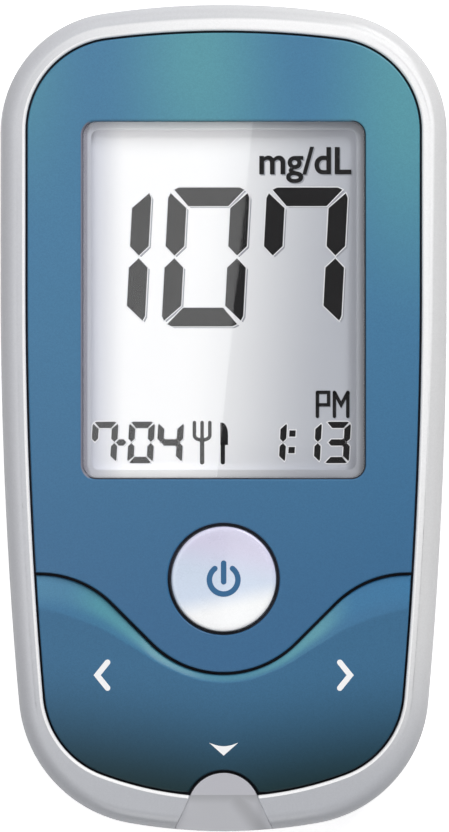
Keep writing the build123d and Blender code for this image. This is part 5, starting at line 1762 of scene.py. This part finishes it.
class METER_OT_inner_parts(MeterOperator, Operator):
    """Give the carried-over inner pieces their finishes"""
    bl_idname = "meter.inner_parts"
    bl_label = "Inner pieces"

    def build(self, form, keys, display, colours):
        # node: name of its material, colour, roughness, grain and its depth in mm, and mottle
        moulded = {
            "chassis": ("deck black", colours.deck, 0.55, 0.3, 0.006, 0.1),
            "lcd_gasket": ("gasket foam", (0.10, 0.10, 0.11), 0.8, 0.3, 0.05, 0.3),
            "lcd_holder": ("holder white", (0.90, 0.90, 0.88), 0.5, 0.3, 0.005, 0.05),
            "zebra_strip": ("zebra rubber", (0.40, 0.40, 0.42), 0.6, 0.1, 0.01, 0.3),
            "main_board": ("board green", (0.07, 0.34, 0.20), 0.35, 0.4, 0.004, 0.15),
            "control_chip": ("chip black", (0.09, 0.09, 0.10), 0.5, 0.15, 0.006, 0.15),
            "capacitors": ("capacitor tan", (0.56, 0.43, 0.30), 0.45, 0.1, 0.003, 0.1),
            "buzzer": ("buzzer black", (0.10, 0.10, 0.10), 0.4, 0.25, 0.004, 0.1),
            "strip_connector": ("connector ivory", (0.90, 0.87, 0.77), 0.45, 0.2, 0.004),
            "data_jack": ("jack black", (0.07, 0.07, 0.08), 0.4, 0.25, 0.005, 0.1),
        }
        # node: name of its material, colour and roughness
        plated = {
            "crystal": ("crystal steel", (0.76, 0.76, 0.76), 0.28),
            "strip_contacts": ("contact gold", (0.90, 0.72, 0.38), 0.2),
            "coin_cell": ("cell steel", (0.80, 0.80, 0.81), 0.25),
            "negative_contact": ("spring steel", (0.76, 0.76, 0.77), 0.3),
            "positive_contact": ("spring steel", (0.76, 0.76, 0.77), 0.3),
        }
        for kind, finishes in ((plastic, moulded), (metal, plated)):
            for node, finish in finishes.items():
                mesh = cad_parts[node].data
                mesh.materials.clear()
                mesh.materials.append(kind(*finish))


class METER_OT_stage(Operator):
    """Set up the floor, the lights and the camera"""
    bl_idname = "meter.stage"
    bl_label = "Stage"
    bl_options = {"REGISTER", "UNDO"}

    def execute(self, context):
        stage = context.scene.meter_stage
        self.floor(context)
        self.room(context, stage)
        self.softbox(context, stage)
        # name, place in metres, share of the side light's level, and size in metres
        for name, place, share, wide in (("side_light", Vector((0.5, 0.8, 0.75)), 0.93, 0.55),
                                         ("top_light", Vector((-0.25, 0.93, 0.7)), 0.2, 0.4),
                                         ("fill_light", Vector((-0.1, -0.95, 0.75)), 0.26, 0.6)):
            turn = place.to_track_quat("Z", "Y").to_euler()
            self.lamp(context, name, place, turn, wide, wide, stage.side_level * share)
        self.camera(context, stage)
        context.scene.view_settings.view_transform = "Standard"
        return {"FINISHED"}

    def softbox(self, context, stage):
        """Its right edge shows in the window as the end of a pale veil."""
        span = stage.softbox_height
        tilt = radians(5.8)
        wide, tall = 0.7 * span, 1.0 * span
        edge = Vector((0.0036, 0.0255, 1.0)) * span
        place = edge + Vector((-cos(tilt), sin(tilt), 0)) * wide / 2
        self.lamp(context, "softbox", place, (0, 0, -tilt), wide, tall, stage.softbox_level)

    def floor(self, context):
        """A pale disc just below the rear cover, a little lighter to the camera."""
        bm = bmesh.new()
        bmesh.ops.create_circle(bm, cap_ends=True, segments=64, radius=6.0)
        bmesh.ops.translate(bm, verts=bm.verts, vec=(0, 0, -0.02 * MM))
        mesh = bpy.data.meshes.new("floor")
        bm.to_mesh(mesh)
        bm.free()
        floor = bpy.data.objects.new("floor", mesh)
        context.scene.collection.objects.link(floor)
        material, nodes, shader, place = start_material("floor white")
        spots = nodes.add("ShaderNodeTexNoise", Vector=place, Scale=40.0)
        nodes.feed(shader, "Base Color", nodes.blend(spots.outputs[0], (0.86, 0.86, 0.87, 1),
                                                     (0.9, 0.9, 0.9, 1)))
        shader.inputs["Roughness"].default_value = 0.9
        shader.inputs["Specular IOR Level"].default_value = 0.0
        rays = nodes.add("ShaderNodeLightPath")
        shader.inputs["Emission Color"].default_value = (1, 1, 1, 1)
        glow = nodes.maths("MULTIPLY", rays.outputs["Is Camera Ray"], 0.6)
        nodes.feed(shader, "Emission Strength", glow)
        mesh.materials.append(material)

    def room(self, context, stage):
        """Soft light from all round; the camera sees it as white."""
        world = bpy.data.worlds.new("room")
        context.scene.world = world
        world.use_nodes = True
        nodes = Nodes(world.node_tree)
        back = world.node_tree.nodes["Background"]
        back.inputs["Color"].default_value = (1, 1, 1, 1)
        seen = nodes.add("ShaderNodeLightPath").outputs["Is Camera Ray"]
        level = nodes.maths("ADD", stage.room_level,
                            nodes.maths("MULTIPLY", seen, 1.0 - stage.room_level))
        nodes.feed(back, "Strength", level)

    def lamp(self, context, name, place, turn, wide, tall, level):
        """A rectangular lamp; level is its brightness."""
        data = bpy.data.lights.new(name, "AREA")
        data.shape = "RECTANGLE"
        data.size = wide
        data.size_y = tall
        data.energy = level * pi * wide * tall
        lamp = bpy.data.objects.new(name, data)
        lamp.location, lamp.rotation_euler = place, turn
        lamp.visible_camera = False
        context.scene.collection.objects.link(lamp)

    def camera(self, context, stage):
        """Straight above the meter; the view height holds at the measured level."""
        aim_x, aim_y, measured_z, sensor = 0.1 * MM, 0.24 * MM, 13.0 * MM, 36.0
        data = bpy.data.cameras.new("camera")
        data.sensor_fit = "AUTO"
        data.sensor_width = sensor
        data.lens = sensor * (stage.camera_height - measured_z) / stage.view_height
        data.clip_end = 100.0
        camera = bpy.data.objects.new("camera", data)
        camera.location = (aim_x, aim_y, stage.camera_height)
        context.scene.collection.objects.link(camera)
        context.scene.camera = camera


class METER_PT_panel(Panel):
    """Settings and building steps of the meter"""
    bl_idname = "METER_PT_panel"
    bl_label = "Glucose meter"
    bl_space_type = "VIEW_3D"
    bl_region_type = "UI"
    bl_category = "Meter"

    def draw(self, context):
        for step in STEPS:
            self.layout.operator(step.bl_idname)
        for key in SETTINGS:
            box = self.layout.box()
            settings = getattr(context.scene, key)
            for name in settings.__annotations__:
                box.prop(settings, name)


STEPS = (METER_OT_front_shell, METER_OT_face_panel, METER_OT_scroll_key, METER_OT_power_cap,
         METER_OT_window, METER_OT_display, METER_OT_key_marks, METER_OT_port_nose, METER_OT_back,
         METER_OT_screws, METER_OT_keypad, METER_OT_inner_parts, METER_OT_stage)
SETTINGS = {"meter_form": MeterForm, "meter_keys": MeterKeys, "meter_display": MeterDisplay,
            "meter_colours": MeterColours, "meter_stage": MeterStage}


def register():
    for item in (*SETTINGS.values(), *STEPS, METER_PT_panel):
        bpy.utils.register_class(item)
    for key, item in SETTINGS.items():
        setattr(bpy.types.Scene, key, PointerProperty(type=item))


def unregister():
    for key in SETTINGS:
        delattr(bpy.types.Scene, key)
    for item in reversed((*SETTINGS.values(), *STEPS, METER_PT_panel)):
        bpy.utils.unregister_class(item)


def main():
    register()
    for step in STEPS:
        area, name = step.bl_idname.split(".")
        getattr(getattr(bpy.ops, area), name)()


if __name__ == "__main__":
    main()
